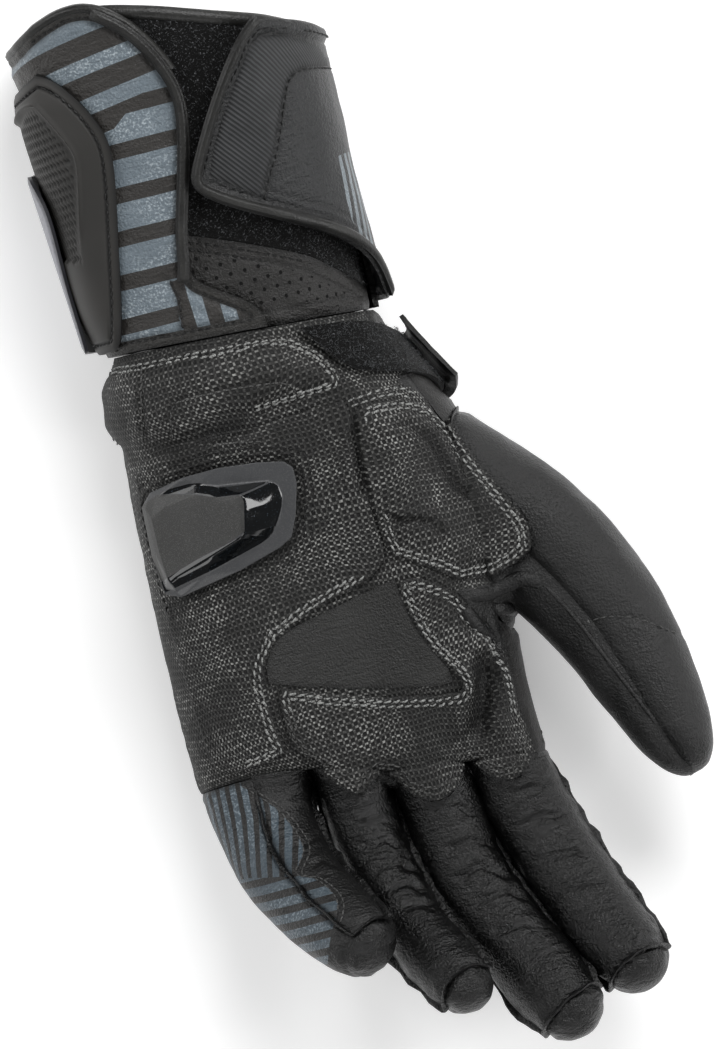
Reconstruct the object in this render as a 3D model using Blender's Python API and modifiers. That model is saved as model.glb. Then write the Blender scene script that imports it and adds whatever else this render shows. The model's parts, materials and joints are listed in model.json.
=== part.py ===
# Left-hand motorcycle gauntlet glove, lying on its back with the palm up.
# +Y runs from the fingertips to the cuff, +X is the thumb side, +Z the palm side.
# Lengths are metres. Tables hold shares of the named sizes beside them.
import math
from collections import namedtuple

import bmesh
import bpy
from mathutils import Matrix, Vector
from mathutils.bvhtree import BVHTree

MM = 0.001

# The hand
PALM_WIDTH = 104 * MM          # across the knuckles
HAND_LENGTH = 148 * MM         # wrist seam to the web beside the middle finger
WRIST_WIDTH = 88 * MM
WRIST_DEPTH = 56 * MM
PALM_DEPTH = 50 * MM           # at the heel of the hand
ROOT_DEPTH = 33 * MM           # where the fingers begin
LEATHER = 1.6 * MM             # wall of the main leather
SEAM_GAP = 0.3 * MM            # between two sewn panels

# The fingers: length from the root line to the tip, and girth as width and depth
FINGER_LENGTH = {"little": 73 * MM, "ring": 92 * MM, "middle": 108 * MM, "index": 87 * MM}
FINGER_WIDTH = {"little": 27.5 * MM, "ring": 22.5 * MM, "middle": 22.5 * MM, "index": 24 * MM}
FINGER_DEPTH = {"little": 25 * MM, "ring": 25 * MM, "middle": 26 * MM, "index": 26 * MM}
THUMB_LENGTH = 105 * MM        # thumb base to tip
THUMB_WIDTH = 35 * MM
THUMB_DEPTH = 33 * MM
THUMB_ROLL = math.radians(20)  # the thumb is turned in towards the palm

# The cuff
CUFF_LENGTH = 112 * MM         # wrist line to the highest point of its mouth
CUFF_WIDTH = 95 * MM           # at the mouth
CUFF_DEPTH = 78 * MM           # at the mouth
WRIST_SLANT = 8 * MM           # the wrist seam is this much nearer the mouth on the little side
CUFF_WALL = 2.0 * MM
FLAT_BACK = 1.5 * MM           # how far the back is pressed flat where it rests
LAYER_GAP = 0.5 * MM           # between two layers that lie on each other
UNDER_GAP = 1.0 * MM           # between the shell and the panels under its edges
LOOP_WALL = 1.8 * MM           # the fuzzy closure panel
TAB_WALL = 2.4 * MM            # the closure flap
TAB_PATCH_WALL = 0.9 * MM

# What lies on the palm
PATCH_WALL = 1.3 * MM          # reinforcing leather
INSET_WALL = 1.0 * MM          # the smooth leather in the hollow of the palm
PATCH_LIFT = 1.0 * MM          # the patches lie this far off the palm
HEEL_LIFT = 1.4 * MM
STRAP_LIFT = 1.5 * MM
PAD_CROWN = 2.2 * MM           # how far a padded patch swells above its edge
CROWN_REACH = 13 * MM          # from its edge to where it is at its fullest
STRAP_WALL = 1.6 * MM
SLIDER_EDGE = 1.4 * MM         # rim of the hard plate on the palm
SLIDER_RISE = 6.5 * MM         # height of that plate's boss at its inner end
SLIDER_LOW_RISE = 2.5 * MM     # and at its outer end
SLIDER_HOLLOW = 2.0 * MM       # the boss is hollow underneath
SLIDER_GAP = 1.4 * MM
CUFF_GUARD_LIFT = 0.9 * MM     # the side guard's foot lies this far off the shell
CUFF_GUARD_EDGE = 1.4 * MM
CUFF_GUARD_RISE = 2.4 * MM
CUFF_PLATE_WALL = 1.2 * MM
BINDING_WIDTH = 4.0 * MM       # the leather folded over an edge
BINDING_WALL = 1.4 * MM
BAND_LIFT = 1.0 * MM           # it lies this far off its layer
BINDING_SECTION = ((0.05, 0.75), (0.5, 1.0), (1.0, 0.6))   # shares of its width and wall
GRID = 8 * MM                  # spacing of the facets on a patch
SNAP = 0.2 * MM                # points nearer than this are one point
STEEPEST = 0.5                 # a patch's lift grows with the slope up to this cosine
SECTION_POWER = 2.5            # 2 is an ellipse, more is squarer
CAGE_GAIN = 1.09               # a subdivided ring shrinks inside its cage by this much

COLOURS = {
    "leather": (0.018, 0.018, 0.019, 1.0),
    "grip": (0.03, 0.03, 0.031, 1.0),
    "striped": (0.09, 0.11, 0.125, 1.0),
    "loop": (0.01, 0.01, 0.01, 1.0),
    "rubber": (0.03, 0.03, 0.029, 1.0),
    "plastic": (0.05, 0.05, 0.052, 1.0),
    "grey_plastic": (0.16, 0.165, 0.175, 1.0),
}
ROUGHNESS = {
    "leather": 0.45, "grip": 0.6, "striped": 0.45, "loop": 0.95,
    "rubber": 0.6, "plastic": 0.35, "grey_plastic": 0.4,
}

# Rows of the palm, from the wrist to just short of the finger roots.
# left and right are shares of PALM_WIDTH; the heights of the little-finger side, middle
# and thumb side of the palm are shares of PALM_DEPTH.
# The thumb grows from the rows that hold it.
PalmRow = namedtuple("PalmRow", "along left right little_side middle thumb_side holds_thumb")
PALM_ROWS = [
    PalmRow(0.12, -0.455, 0.455, 1.08, 1.06, 1.07, False),
    PalmRow(0.28, -0.475, 0.555, 1.04, 0.96, 1.06, True),
    PalmRow(0.50, -0.505, 0.580, 1.00, 0.88, 1.06, True),
    PalmRow(0.76, -0.520, 0.560, 0.88, 0.78, 0.90, True),
    PalmRow(0.87, -0.525, 0.545, 0.80, 0.74, 0.80, False),
]
# The root line: where each of the nine columns ends, and the three webs between fingers
ROOT_ALONG = [0.915, 0.915, 0.925, 0.955, 0.985, 1.00, 1.005, 1.04, 1.065]
ROOT_ACROSS = [-0.510, -0.335, -0.160, -0.045, 0.055, 0.175, 0.295, 0.410, 0.525]
WEB_COLUMNS = (2, 4, 6)
WEB_DROP = 0.02                # the webs reach this share of HAND_LENGTH past the root line
# Heights at the root line as shares of ROOT_DEPTH: over a finger's middle and between two
ROOT_PALM_OVER, ROOT_PALM_BETWEEN = 1.0, 0.86
ROOT_BACK_OVER, ROOT_BACK_BETWEEN = 0.06, 0.14
ROOT_SIDE = 0.52

# Sections of a finger. along, sideways and rise place its middle as shares of its length,
# measured from its root; width and depth are shares of its girth.
FingerRow = namedtuple("FingerRow", "along sideways rise width depth")
FINGER_ROWS = {
    "little": [
        FingerRow(0.18, -0.02, 0.03, 1.12, 1.04),
        FingerRow(0.38, 0.00, 0.15, 1.12, 1.02),
        FingerRow(0.57, 0.09, 0.31, 1.02, 0.98),
        FingerRow(0.72, 0.19, 0.49, 0.97, 0.96),
        FingerRow(0.84, 0.29, 0.64, 0.84, 0.86),
    ],
    "ring": [
        FingerRow(0.15, -0.01, 0.01, 1.00, 1.05),
        FingerRow(0.34, 0.00, 0.06, 0.98, 1.00),
        FingerRow(0.52, 0.03, 0.15, 0.97, 0.98),
        FingerRow(0.69, 0.10, 0.28, 0.99, 0.97),
        FingerRow(0.84, 0.19, 0.42, 0.92, 0.88),
    ],
    "middle": [
        FingerRow(0.14, 0.00, 0.00, 1.00, 1.03),
        FingerRow(0.30, 0.005, 0.02, 0.98, 1.00),
        FingerRow(0.46, 0.045, 0.06, 1.02, 0.98),
        FingerRow(0.64, 0.125, 0.13, 1.10, 0.96),
        FingerRow(0.82, 0.222, 0.24, 1.10, 0.90),
    ],
    "index": [
        FingerRow(0.14, 0.035, 0.00, 0.98, 1.02),
        FingerRow(0.33, 0.085, 0.02, 0.98, 1.00),
        FingerRow(0.52, 0.145, 0.07, 0.98, 0.98),
        FingerRow(0.71, 0.210, 0.15, 1.02, 0.96),
        FingerRow(0.86, 0.262, 0.25, 1.00, 0.90),
    ],
}
TIP_REACH = 0.10               # the last section to the tip, as a share of the length
# Eight places round a finger's section, from its palm side by way of the thumb side
FINGER_SECTION = [
    (-0.80, 0.80), (0.0, 1.02), (0.80, 0.80), (1.04, 0.0),
    (0.74, -0.74), (0.0, -1.02), (-0.74, -0.74), (-1.04, 0.0),
]

# Sections of the thumb. along and sideways run from the middle of its base
ThumbRow = namedtuple("ThumbRow", "along sideways rise width depth lean")
THUMB_ROWS = [
    ThumbRow(0.065, 0.125, 0.00, 1.32, 1.10, 1.70),
    ThumbRow(0.265, 0.245, 0.02, 1.24, 1.04, 0.95),
    ThumbRow(0.45, 0.314, 0.05, 1.05, 0.96, 0.45),
    ThumbRow(0.625, 0.355, 0.09, 0.88, 0.86, 0.27),
    ThumbRow(0.81, 0.392, 0.12, 0.70, 0.70, 0.20),
]
THUMB_TIP = ThumbRow(1.02, 0.438, 0.14, 0.0, 0.0, 0.18)

# Outlines on the palm: across as shares of PALM_WIDTH from the hand's middle line,
# along as shares of HAND_LENGTH from the wrist seam.
THENAR_OUTLINE = [
    (0.258, 0.215), (0.41, 0.225), (0.49, 0.250), (0.53, 0.31), (0.565, 0.39), (0.625, 0.48),
    (0.67, 0.56), (0.66, 0.61), (0.60, 0.63), (0.51, 0.645), (0.42, 0.635), (0.375, 0.605),
    (0.30, 0.57), (0.238, 0.545), (0.228, 0.42), (0.238, 0.31),
]
HYPOTHENAR_OUTLINE = [
    (-0.44, 0.202), (-0.20, 0.205), (0.00, 0.203), (0.16, 0.198), (0.247, 0.198), (0.228, 0.31),
    (0.218, 0.42), (0.228, 0.545), (0.15, 0.585), (0.04, 0.60), (-0.06, 0.62), (-0.17, 0.655),
    (-0.225, 0.71), (-0.235, 0.80), (-0.22, 0.895), (-0.33, 0.90), (-0.455, 0.895),
    (-0.472, 0.75), (-0.475, 0.55), (-0.465, 0.38),
]
GRIP_OUTLINE = [
    (-0.205, 0.745), (-0.07, 0.785), (0.10, 0.83), (0.25, 0.855), (0.335, 0.865), (0.35, 0.845),
    (0.285, 0.765), (0.245, 0.69), (0.232, 0.61), (0.28, 0.595), (0.36, 0.63), (0.42, 0.67),
    (0.47, 0.76), (0.49, 0.84), (0.49, 0.95), (0.485, 1.05), (0.41, 1.075), (0.345, 1.05),
    (0.30, 1.00), (0.245, 1.055), (0.175, 1.075), (0.105, 1.045), (0.06, 0.99),
    (0.02, 0.985), (-0.045, 1.015), (-0.10, 0.985), (-0.155, 0.92), (-0.205, 0.895),
]
INSET_OUTLINE = [
    (-0.17, 0.69), (-0.06, 0.655), (0.04, 0.635), (0.15, 0.62), (0.20, 0.62), (0.215, 0.70),
    (0.255, 0.775), (0.30, 0.83), (0.25, 0.825), (0.10, 0.80), (-0.07, 0.755), (-0.19, 0.72),
]
HEEL_OUTLINE = [
    (-0.60, -0.015), (-0.45, -0.018), (-0.30, -0.007), (-0.15, 0.003), (0.02, 0.016), (0.13, 0.028),
    (0.205, 0.078), (0.24, 0.145), (0.24, 0.178), (0.10, 0.182), (-0.10, 0.184),
    (-0.30, 0.186), (-0.45, 0.180), (-0.60, 0.165),
]
# The hard plate on the palm: three loops, from its edge to the foot and the top of its boss
SliderPoint = namedtuple("SliderPoint", "edge foot top")
SLIDER_POINTS = [
    SliderPoint((-0.440, 0.298), (-0.430, 0.304), (-0.420, 0.325)),
    SliderPoint((-0.405, 0.274), (-0.390, 0.288), (-0.370, 0.310)),
    SliderPoint((-0.296, 0.262), (-0.260, 0.284), (-0.270, 0.304)),
    SliderPoint((-0.193, 0.263), (-0.195, 0.300), (-0.213, 0.321)),
    SliderPoint((-0.071, 0.274), (-0.052, 0.318), (-0.146, 0.331)),
    SliderPoint((0.010, 0.288), (-0.024, 0.334), (-0.136, 0.340)),
    SliderPoint((0.032, 0.305), (-0.022, 0.361), (-0.140, 0.365)),
    SliderPoint((0.030, 0.340), (-0.042, 0.395), (-0.152, 0.392)),
    SliderPoint((0.000, 0.405), (-0.060, 0.415), (-0.163, 0.410)),
    SliderPoint((-0.030, 0.447), (-0.100, 0.437), (-0.180, 0.420)),
    SliderPoint((-0.070, 0.461), (-0.200, 0.456), (-0.280, 0.440)),
    SliderPoint((-0.206, 0.485), (-0.312, 0.474), (-0.390, 0.460)),
    SliderPoint((-0.400, 0.505), (-0.410, 0.490), (-0.418, 0.470)),
    SliderPoint((-0.445, 0.490), (-0.436, 0.478), (-0.424, 0.460)),
    SliderPoint((-0.452, 0.403), (-0.440, 0.403), (-0.426, 0.403)),
]

SOFT_CORNER = math.radians(28) # an outline's sharper turns than this are cut off
CORNER_CUT = 0.16              # by this share of their sides

# The cuff's layers: x of an edge as a share of half the cuff's width, at shares of its length
EdgePoint = namedtuple("EdgePoint", "along across")
STRIPE_EDGE = [
    EdgePoint(0.00, 0.18), EdgePoint(0.08, 0.18), EdgePoint(0.165, -0.27), EdgePoint(0.22, -0.22),
    EdgePoint(0.30, -0.19), EdgePoint(0.42, -0.10), EdgePoint(0.58, 0.01), EdgePoint(0.71, 0.07),
    EdgePoint(0.80, 0.045), EdgePoint(0.89, -0.06), EdgePoint(0.95, -0.18), EdgePoint(1.00, -0.36),
]
TAB_EDGE = [
    EdgePoint(0.02, 0.99), EdgePoint(0.10, 0.975), EdgePoint(0.17, 0.94), EdgePoint(0.24, 0.82),
    EdgePoint(0.31, 0.52), EdgePoint(0.365, 0.22), EdgePoint(0.415, -0.02), EdgePoint(0.455, -0.065),
    EdgePoint(0.50, -0.035), EdgePoint(0.60, 0.085), EdgePoint(0.76, 0.28), EdgePoint(0.92, 0.49),
    EdgePoint(0.985, 0.62),
]
GripRow = namedtuple("GripRow", "along inner outer")
TAB_GRIP_ROWS = [
    GripRow(0.45, 0.09, 0.39), GripRow(0.50, 0.12, 0.44), GripRow(0.60, 0.25, 0.53),
    GripRow(0.70, 0.37, 0.64), GripRow(0.79, 0.47, 0.77), GripRow(0.82, 0.51, 0.90),
    GripRow(0.905, 0.63, 0.96),
]
CUFF_GUARD_LINE = [
    EdgePoint(0.015, -0.84), EdgePoint(0.14, -0.75), EdgePoint(0.28, -0.67), EdgePoint(0.42, -0.58),
    EdgePoint(0.57, -0.50), EdgePoint(0.65, -0.52), EdgePoint(0.76, -0.63), EdgePoint(0.84, -0.74),
    EdgePoint(0.875, -0.83),
]
CUFF_RIDGE_SHARE = 0.36        # where the guard's slope ends, from its edge to the side
CUFF_PLATE_LINE = [
    EdgePoint(0.03, -0.990), EdgePoint(0.25, -0.985), EdgePoint(0.40, -0.96),
    EdgePoint(0.50, -0.955), EdgePoint(0.58, -0.985), EdgePoint(0.62, -0.998),
]
LOOP_LOW_EDGE = [(-0.60, 0.34), (-0.15, 0.31), (0.21, 0.265), (0.65, 0.205), (1.0, 0.08)]
# The mouth's height round the section: x as a share of half the width, height of CUFF_LENGTH
MOUTH_LINE = [
    (-1.0, 0.925), (-0.8, 0.97), (-0.55, 1.0), (-0.15, 0.965), (0.2, 0.90), (0.6, 0.85),
    (0.9, 0.805), (1.0, 0.775),
]
WRIST_FIRST_TURN, WRIST_LAST_TURN = 150, 30   # degrees round the wrist over which the palm lies
HALF_TURN = 180                # the little-finger side
SHELL_THUMB_TURN = 352         # degrees round the section where the shell's other edge ends
TAB_BACK_TURN = -38
GUARD_BACK_TURN = 218
GUARD_BACK_SLOPE = 10          # degrees over which the guard rises from its back edge
GUARD_LOW_SLOPE, GUARD_HIGH_SLOPE = 0.06, 0.10   # and from its ends, as shares of the cuff
PLATE_BACK_TURN = 205
UNDERLAP_TURN = 8
LOOP_FIRST_TURN = 145
LOOP_COLUMNS = 9

# The wrist strap: its two edges, and the grey tab at its end. Past half the palm's width it
# goes down the side of the wrist.
StrapRow = namedtuple("StrapRow", "upper lower")
STRAP_ROWS = [
    StrapRow((0.160, 0.025), (0.263, 0.145)), StrapRow((0.25, 0.032), (0.34, 0.160)),
    StrapRow((0.36, 0.045), (0.42, 0.175)), StrapRow((0.46, 0.070), (0.50, 0.200)),
    StrapRow((0.56, 0.095), (0.60, 0.225)), StrapRow((0.64, 0.110), (0.66, 0.240)),
    StrapRow((0.71, 0.115), (0.72, 0.245)),
]
STRAP_TAB_ROWS = [
    StrapRow((0.47, 0.060), (0.52, 0.215)), StrapRow((0.56, 0.080), (0.60, 0.240)),
    StrapRow((0.63, 0.095), (0.65, 0.255)), StrapRow((0.70, 0.100), (0.71, 0.260)),
]
STRAP_TAB_CURL = 2.0 * MM      # how far the tab's free end stands off the strap


def clear_scene():
    for thing in list(bpy.data.objects):
        bpy.data.objects.remove(thing, do_unlink=True)


def make_materials():
    made = {}
    for name, colour in COLOURS.items():
        material = bpy.data.materials.new(name)
        material.use_nodes = True
        shader = material.node_tree.nodes["Principled BSDF"]
        shader.inputs["Base Color"].default_value = colour
        shader.inputs["Roughness"].default_value = ROUGHNESS[name]
        shader.inputs["Metallic"].default_value = 0.0
        made[name] = material
    return made


def blend(low, high, share):
    return low + (high - low) * share


def smooth_step(share):
    share = min(1.0, max(0.0, share))
    return share * share * (3 - 2 * share)


def value_at(table, place):
    """Straight-line reading of a table of (place, value) pairs."""
    for (before, low), (after, high) in zip(table, table[1:]):
        if place <= after:
            return blend(low, high, (place - before) / (after - before))
    return table[-1][1]


# Every solid here is a sheet with two layers, joined round its open edges
def add_solid(name, collection, material, bm, lower, upper, crease=50):
    """bm is an open sheet. lower and upper give each vertex's place on the two faces."""
    sheet_verts = list(bm.verts)
    sheet_faces = list(bm.faces)
    rim = [edge for edge in bm.edges if edge.is_boundary]
    copy = bmesh.ops.duplicate(bm, geom=sheet_verts + list(bm.edges) + sheet_faces)
    twin = {vert: copy["vert_map"][vert] for vert in sheet_verts}
    places = [(vert, lower(vert), upper(vert)) for vert in sheet_verts]
    for vert, under, over in places:
        vert.co = under
        twin[vert].co = over
    for edge in rim:
        first, second = edge.verts
        bm.faces.new((first, second, twin[second], twin[first]))
    bmesh.ops.recalc_face_normals(bm, faces=bm.faces)
    bmesh.ops.triangulate(bm, faces=bm.faces)
    if bm.calc_volume(signed=True) < 0:
        bmesh.ops.reverse_faces(bm, faces=bm.faces)
    mesh = bpy.data.meshes.new(name)
    bm.to_mesh(mesh)
    bm.free()
    made = bpy.data.objects.new(name, mesh)
    made.data.materials.append(material)
    made.data.set_sharp_from_angle(angle=math.radians(crease))
    collection.objects.link(made)
    return made


# The hand's cage
def wrist_line(x):
    """Where the wrist seam runs, at a place across the wrist."""
    return -WRIST_SLANT * x / WRIST_WIDTH


def section_point(turn, half_width, half_depth):
    """x and z of a rounded section that rests on z = 0, pressed flat underneath."""
    angle = math.radians(turn)
    power = 2 / SECTION_POWER
    x = half_width * math.copysign(abs(math.cos(angle)) ** power, math.cos(angle))
    z = half_depth * math.copysign(abs(math.sin(angle)) ** power, math.sin(angle))
    return x, max(0.0, z + half_depth - FLAT_BACK)


def palm_height(row, column):
    """Palm height at a column 0 to 8, as a share of PALM_DEPTH."""
    share = column / 8
    if share < 0.5:
        return blend(row.little_side, row.middle, smooth_step((share - 0.1) / 0.4))
    return blend(row.middle, row.thumb_side, smooth_step((share - 0.5) / 0.35))


SHOULDER = [0.78, 0.97, 1.0, 1.0, 1.0, 1.0, 1.0, 0.97, 0.80]   # palm columns fall at the sides
BACK_LIFT = [0.16, 0.03, 0.0, 0.0, 0.0, 0.0, 0.0, 0.03, 0.16]  # back columns rise at the sides
SIDE_LIFT = 0.47
SIDE_BULGE = 1.03


def palm_ring(bm, row):
    """Twenty vertices: nine over the palm, a thumb side, nine under the back, a little side."""
    y = -row.along * HAND_LENGTH
    across = [blend(row.left, row.right, 0.04 + 0.92 * c / 8) * PALM_WIDTH for c in range(9)]
    tall = [palm_height(row, c) * PALM_DEPTH for c in range(9)]
    front = [bm.verts.new((across[c], y, tall[c] * SHOULDER[c])) for c in range(9)]
    back = [bm.verts.new((across[c], y, tall[c] * BACK_LIFT[c])) for c in range(9)]
    thumb_side = bm.verts.new((row.right * PALM_WIDTH * SIDE_BULGE, y, tall[8] * SIDE_LIFT))
    little_side = bm.verts.new((row.left * PALM_WIDTH * SIDE_BULGE, y, tall[0] * SIDE_LIFT))
    return front, thumb_side, back, little_side


def wrist_ring(bm):
    turns = [blend(WRIST_FIRST_TURN, WRIST_LAST_TURN, c / 8) for c in range(9)]

    def place(turn):
        x, z = section_point(turn, WRIST_WIDTH / 2, WRIST_DEPTH / 2)
        return bm.verts.new((x, wrist_line(x), z))

    front = [place(turn) for turn in turns]
    back = [place(-turn) for turn in turns]
    return front, place(0), back, place(HALF_TURN)


def root_ring(bm):
    front, back = [], []
    for c in range(9):
        x = ROOT_ACROSS[c] * PALM_WIDTH
        y = -ROOT_ALONG[c] * HAND_LENGTH
        over = c % 2 == 1
        palm = ROOT_PALM_OVER if over else ROOT_PALM_BETWEEN
        under = ROOT_BACK_OVER if over else ROOT_BACK_BETWEEN
        front.append(bm.verts.new((x, y, ROOT_DEPTH * palm * CAGE_GAIN)))
        back.append(bm.verts.new((x, y, ROOT_DEPTH * under)))
    height = ROOT_DEPTH * ROOT_SIDE
    bulge = PALM_WIDTH * (SIDE_BULGE - 1) / 2
    thumb_side = bm.verts.new((front[8].co.x + bulge, front[8].co.y, height))
    little_side = bm.verts.new((front[0].co.x - bulge, front[0].co.y, height))
    return front, thumb_side, back, little_side


def bridge(bm, first, second, panels):
    """Quads between two loops of vertices; panels names the panel of each column."""
    count = len(first)
    for c in range(count):
        after = (c + 1) % count
        if panels[c] is None:
            continue
        face = bm.faces.new((first[c], first[after], second[after], second[c]))
        face.material_index = PANELS.index(panels[c])


def loop_of(ring):
    front, thumb_side, back, little_side = ring
    return front + [thumb_side] + back[::-1] + [little_side]


PANELS = [
    "palm_leather", "hand_back", "thumb_inner", "thumb_outer",
    "index_front", "index_back", "middle_front", "middle_back",
    "ring_front", "ring_back", "little_front", "little_back", "little_side",
]
PALM_COLUMNS = ["palm_leather"] * 8 + ["hand_back"] * 2 + ["hand_back"] * 8 + ["hand_back", "palm_leather"]
THUMB_COLUMNS = [8, 9]         # the two columns of the palm loop that the thumb grows from


def ring_at(bm, middle, aim, width, depth, tilt=0.0):
    """Eight vertices round a finger's middle: three over the palm side, the thumb side,
    three under the back, the little side."""
    sideways = Vector((0, 0, 1)).cross(aim).normalized()
    palmward = aim.cross(sideways).normalized()
    sideways, palmward = (
        sideways * math.cos(tilt) + palmward * math.sin(tilt),
        palmward * math.cos(tilt) - sideways * math.sin(tilt),
    )
    a, b = width / 2 * CAGE_GAIN, depth / 2 * CAGE_GAIN
    return [bm.verts.new(middle + sideways * a * p + palmward * b * q) for p, q in FINGER_SECTION]


def close_tip(bm, ring, tip, panels):
    point = bm.verts.new(tip)
    for c in range(len(ring)):
        face = bm.faces.new((ring[c], ring[(c + 1) % len(ring)], point))
        face.material_index = PANELS.index(panels[c])


def finger_panels(name):
    """The front panel covers all that is seen from the palm, but for the little finger's side."""
    front, back = name + "_front", name + "_back"
    left = "little_side" if name == "little" else front
    under = "little_side" if name == "little" else back
    return [left, front, front, back, back, back, under, left]


def add_finger(bm, name, root):
    """root is the finger's eight vertices on the root line."""
    base = sum((vert.co for vert in root), Vector()) / len(root)
    length = FINGER_LENGTH[name]
    rows = FINGER_ROWS[name]
    middles = [
        base + Vector((row.sideways * length, -row.along * length, row.rise * length)) for row in rows
    ]
    last_step = (middles[-1] - middles[-2]).normalized()
    tip = middles[-1] + last_step * (TIP_REACH * length)
    path = [base] + middles + [tip]
    columns = finger_panels(name)
    before = root
    for number, row in enumerate(rows):
        aim = (path[number + 2] - path[number]).normalized()
        width, depth = FINGER_WIDTH[name] * row.width, FINGER_DEPTH[name] * row.depth
        ring = ring_at(bm, middles[number], aim, width, depth)
        bridge(bm, before, ring, columns)
        before = ring
    close_tip(bm, before, tip, [name + "_back"] * 8)


def add_thumb(bm, rows):
    """rows are the three palm rings that the thumb grows from."""
    upper, middle_row, lower = rows
    hole = [
        upper[0][8], middle_row[0][8], lower[0][8], lower[1],
        lower[2][8], middle_row[2][8], upper[2][8], upper[1],
    ]
    base = sum((vert.co for vert in hole), Vector()) / len(hole)
    columns = ["thumb_outer"] + ["thumb_inner"] * 4 + ["thumb_outer"] * 3
    before = hole
    for row in THUMB_ROWS:
        middle = base + Vector((row.sideways, -row.along, row.rise)) * THUMB_LENGTH
        aim = Vector((row.lean, -1.0, 0.12)).normalized()
        made = ring_at(bm, middle, aim, THUMB_WIDTH * row.width, THUMB_DEPTH * row.depth, THUMB_ROLL)
        ring = [made[2], made[1], made[0], made[7], made[6], made[5], made[4], made[3]]
        bridge(bm, before, ring, columns)
        before = ring
    tip = base + Vector((THUMB_TIP.sideways, -THUMB_TIP.along, THUMB_TIP.rise)) * THUMB_LENGTH
    close_tip(bm, before, tip, columns)


def make_hand_cage():
    bm = bmesh.new()
    rings = [wrist_ring(bm)] + [palm_ring(bm, row) for row in PALM_ROWS] + [root_ring(bm)]
    holding = [False] + [row.holds_thumb for row in PALM_ROWS] + [False]
    for number, (first, second) in enumerate(zip(rings, rings[1:])):
        columns = list(PALM_COLUMNS)
        if holding[number] and holding[number + 1]:
            for c in THUMB_COLUMNS:
                columns[c] = None
        bridge(bm, loop_of(first), loop_of(second), columns)
    add_thumb(bm, [ring for ring, holds in zip(rings, holding) if holds])
    front, thumb_side, back, little_side = rings[-1]
    webs = []
    for c in WEB_COLUMNS:
        between = (front[c].co + back[c].co) / 2
        webs.append(bm.verts.new((between.x, between.y - WEB_DROP * HAND_LENGTH, between.z)))
    sides = [little_side] + webs + [thumb_side]
    for number, name in enumerate(("little", "ring", "middle", "index")):
        c = number * 2
        root = [
            front[c], front[c + 1], front[c + 2], sides[number + 1],
            back[c + 2], back[c + 1], back[c], sides[number],
        ]
        add_finger(bm, name, root)
    bmesh.ops.delete(bm, geom=[vert for vert in bm.verts if not vert.link_faces], context="VERTS")
    bmesh.ops.recalc_face_normals(bm, faces=bm.faces)
    mesh = bpy.data.meshes.new("hand_cage")
    bm.to_mesh(mesh)
    bm.free()
    return bpy.data.objects.new("hand_cage", mesh)


def subdivided(cage, collection):
    """The cage's smooth surface as a bmesh, with each face's panel kept."""
    collection.objects.link(cage)
    smooth = cage.modifiers.new("Smooth", "SUBSURF")
    smooth.levels = smooth.render_levels = 1
    graph = bpy.context.evaluated_depsgraph_get()
    mesh = bpy.data.meshes.new_from_object(cage.evaluated_get(graph))
    bm = bmesh.new()
    bm.from_mesh(mesh)
    for vert in bm.verts:
        vert.co.z = max(0.0, vert.co.z)
    bm.normal_update()
    bpy.data.objects.remove(cage, do_unlink=True)
    return bm


def pull_in_edges(bm, distance):
    """Moves the open edges of a sheet inwards, along the sheet."""
    pulls = {}
    for edge in bm.edges:
        if not edge.is_boundary:
            continue
        face = edge.link_faces[0]
        along = (edge.verts[1].co - edge.verts[0].co).normalized()
        inward = face.normal.cross(along)
        middle = (edge.verts[0].co + edge.verts[1].co) / 2
        if inward.dot(face.calc_center_median() - middle) < 0:
            inward.negate()
        for vert in edge.verts:
            pulls.setdefault(vert, Vector())
            pulls[vert] += inward
    for vert, pull in pulls.items():
        if pull.length > 1e-6:
            vert.co += pull.normalized() * distance


def add_hand_panels(surface, collection, materials):
    """One solid for each sewn panel of the hand."""
    finish = {"little_side": "striped", "palm_leather": "grip"}
    for number, name in enumerate(PANELS):
        bm = surface.copy()
        normal_layer = bm.verts.layers.float_vector.new("outward")
        for vert in bm.verts:
            vert[normal_layer] = vert.normal
        others = [face for face in bm.faces if face.material_index != number]
        bmesh.ops.delete(bm, geom=others, context="FACES")
        bm.normal_update()
        pull_in_edges(bm, SEAM_GAP / 2)
        for face in bm.faces:
            face.material_index = 0
        add_solid(
            name, collection, materials[finish.get(name, "leather")], bm,
            lower=lambda vert: vert.co - inward_step(vert, normal_layer),
            upper=lambda vert: vert.co.copy(),
        )


def inward_step(vert, layer):
    return Vector(vert[layer]).normalized() * LEATHER


# Sheets laid on the palm
def flat_corners(outline):
    return [Vector((across * PALM_WIDTH, -along * HAND_LENGTH, 0.0)) for across, along in outline]


def outline_sheet(outline):
    """A flat sheet with rounded corners, cut into a grid."""
    bm = bmesh.new()
    corners = rounded_outline(flat_corners(outline))
    bm.faces.new([bm.verts.new(corner) for corner in corners])
    for axis in (0, 1):
        low = min(corner[axis] for corner in corners)
        high = max(corner[axis] for corner in corners)
        cuts = max(1, round((high - low) / GRID))
        for cut in range(1, cuts):
            point, normal = Vector(), Vector()
            point[axis] = blend(low, high, cut / cuts)
            normal[axis] = 1.0
            bmesh.ops.bisect_plane(
                bm, geom=list(bm.verts) + list(bm.edges) + list(bm.faces),
                plane_co=point, plane_no=normal, dist=SNAP,
            )
    bmesh.ops.dissolve_degenerate(bm, dist=SNAP, edges=bm.edges)
    bmesh.ops.triangulate(bm, faces=[face for face in bm.faces if len(face.verts) > 4])
    return bm


def rounded_outline(corners):
    """Each corner of the outline cut once, which rounds it a little."""
    soft = []
    for number, corner in enumerate(corners):
        before = corners[number - 1]
        after = corners[(number + 1) % len(corners)]
        turn = (corner - before).angle(after - corner)
        if turn < SOFT_CORNER:
            soft.append(corner)
        else:
            soft += [corner.lerp(before, CORNER_CUT), corner.lerp(after, CORNER_CUT)]
    return soft


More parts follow.
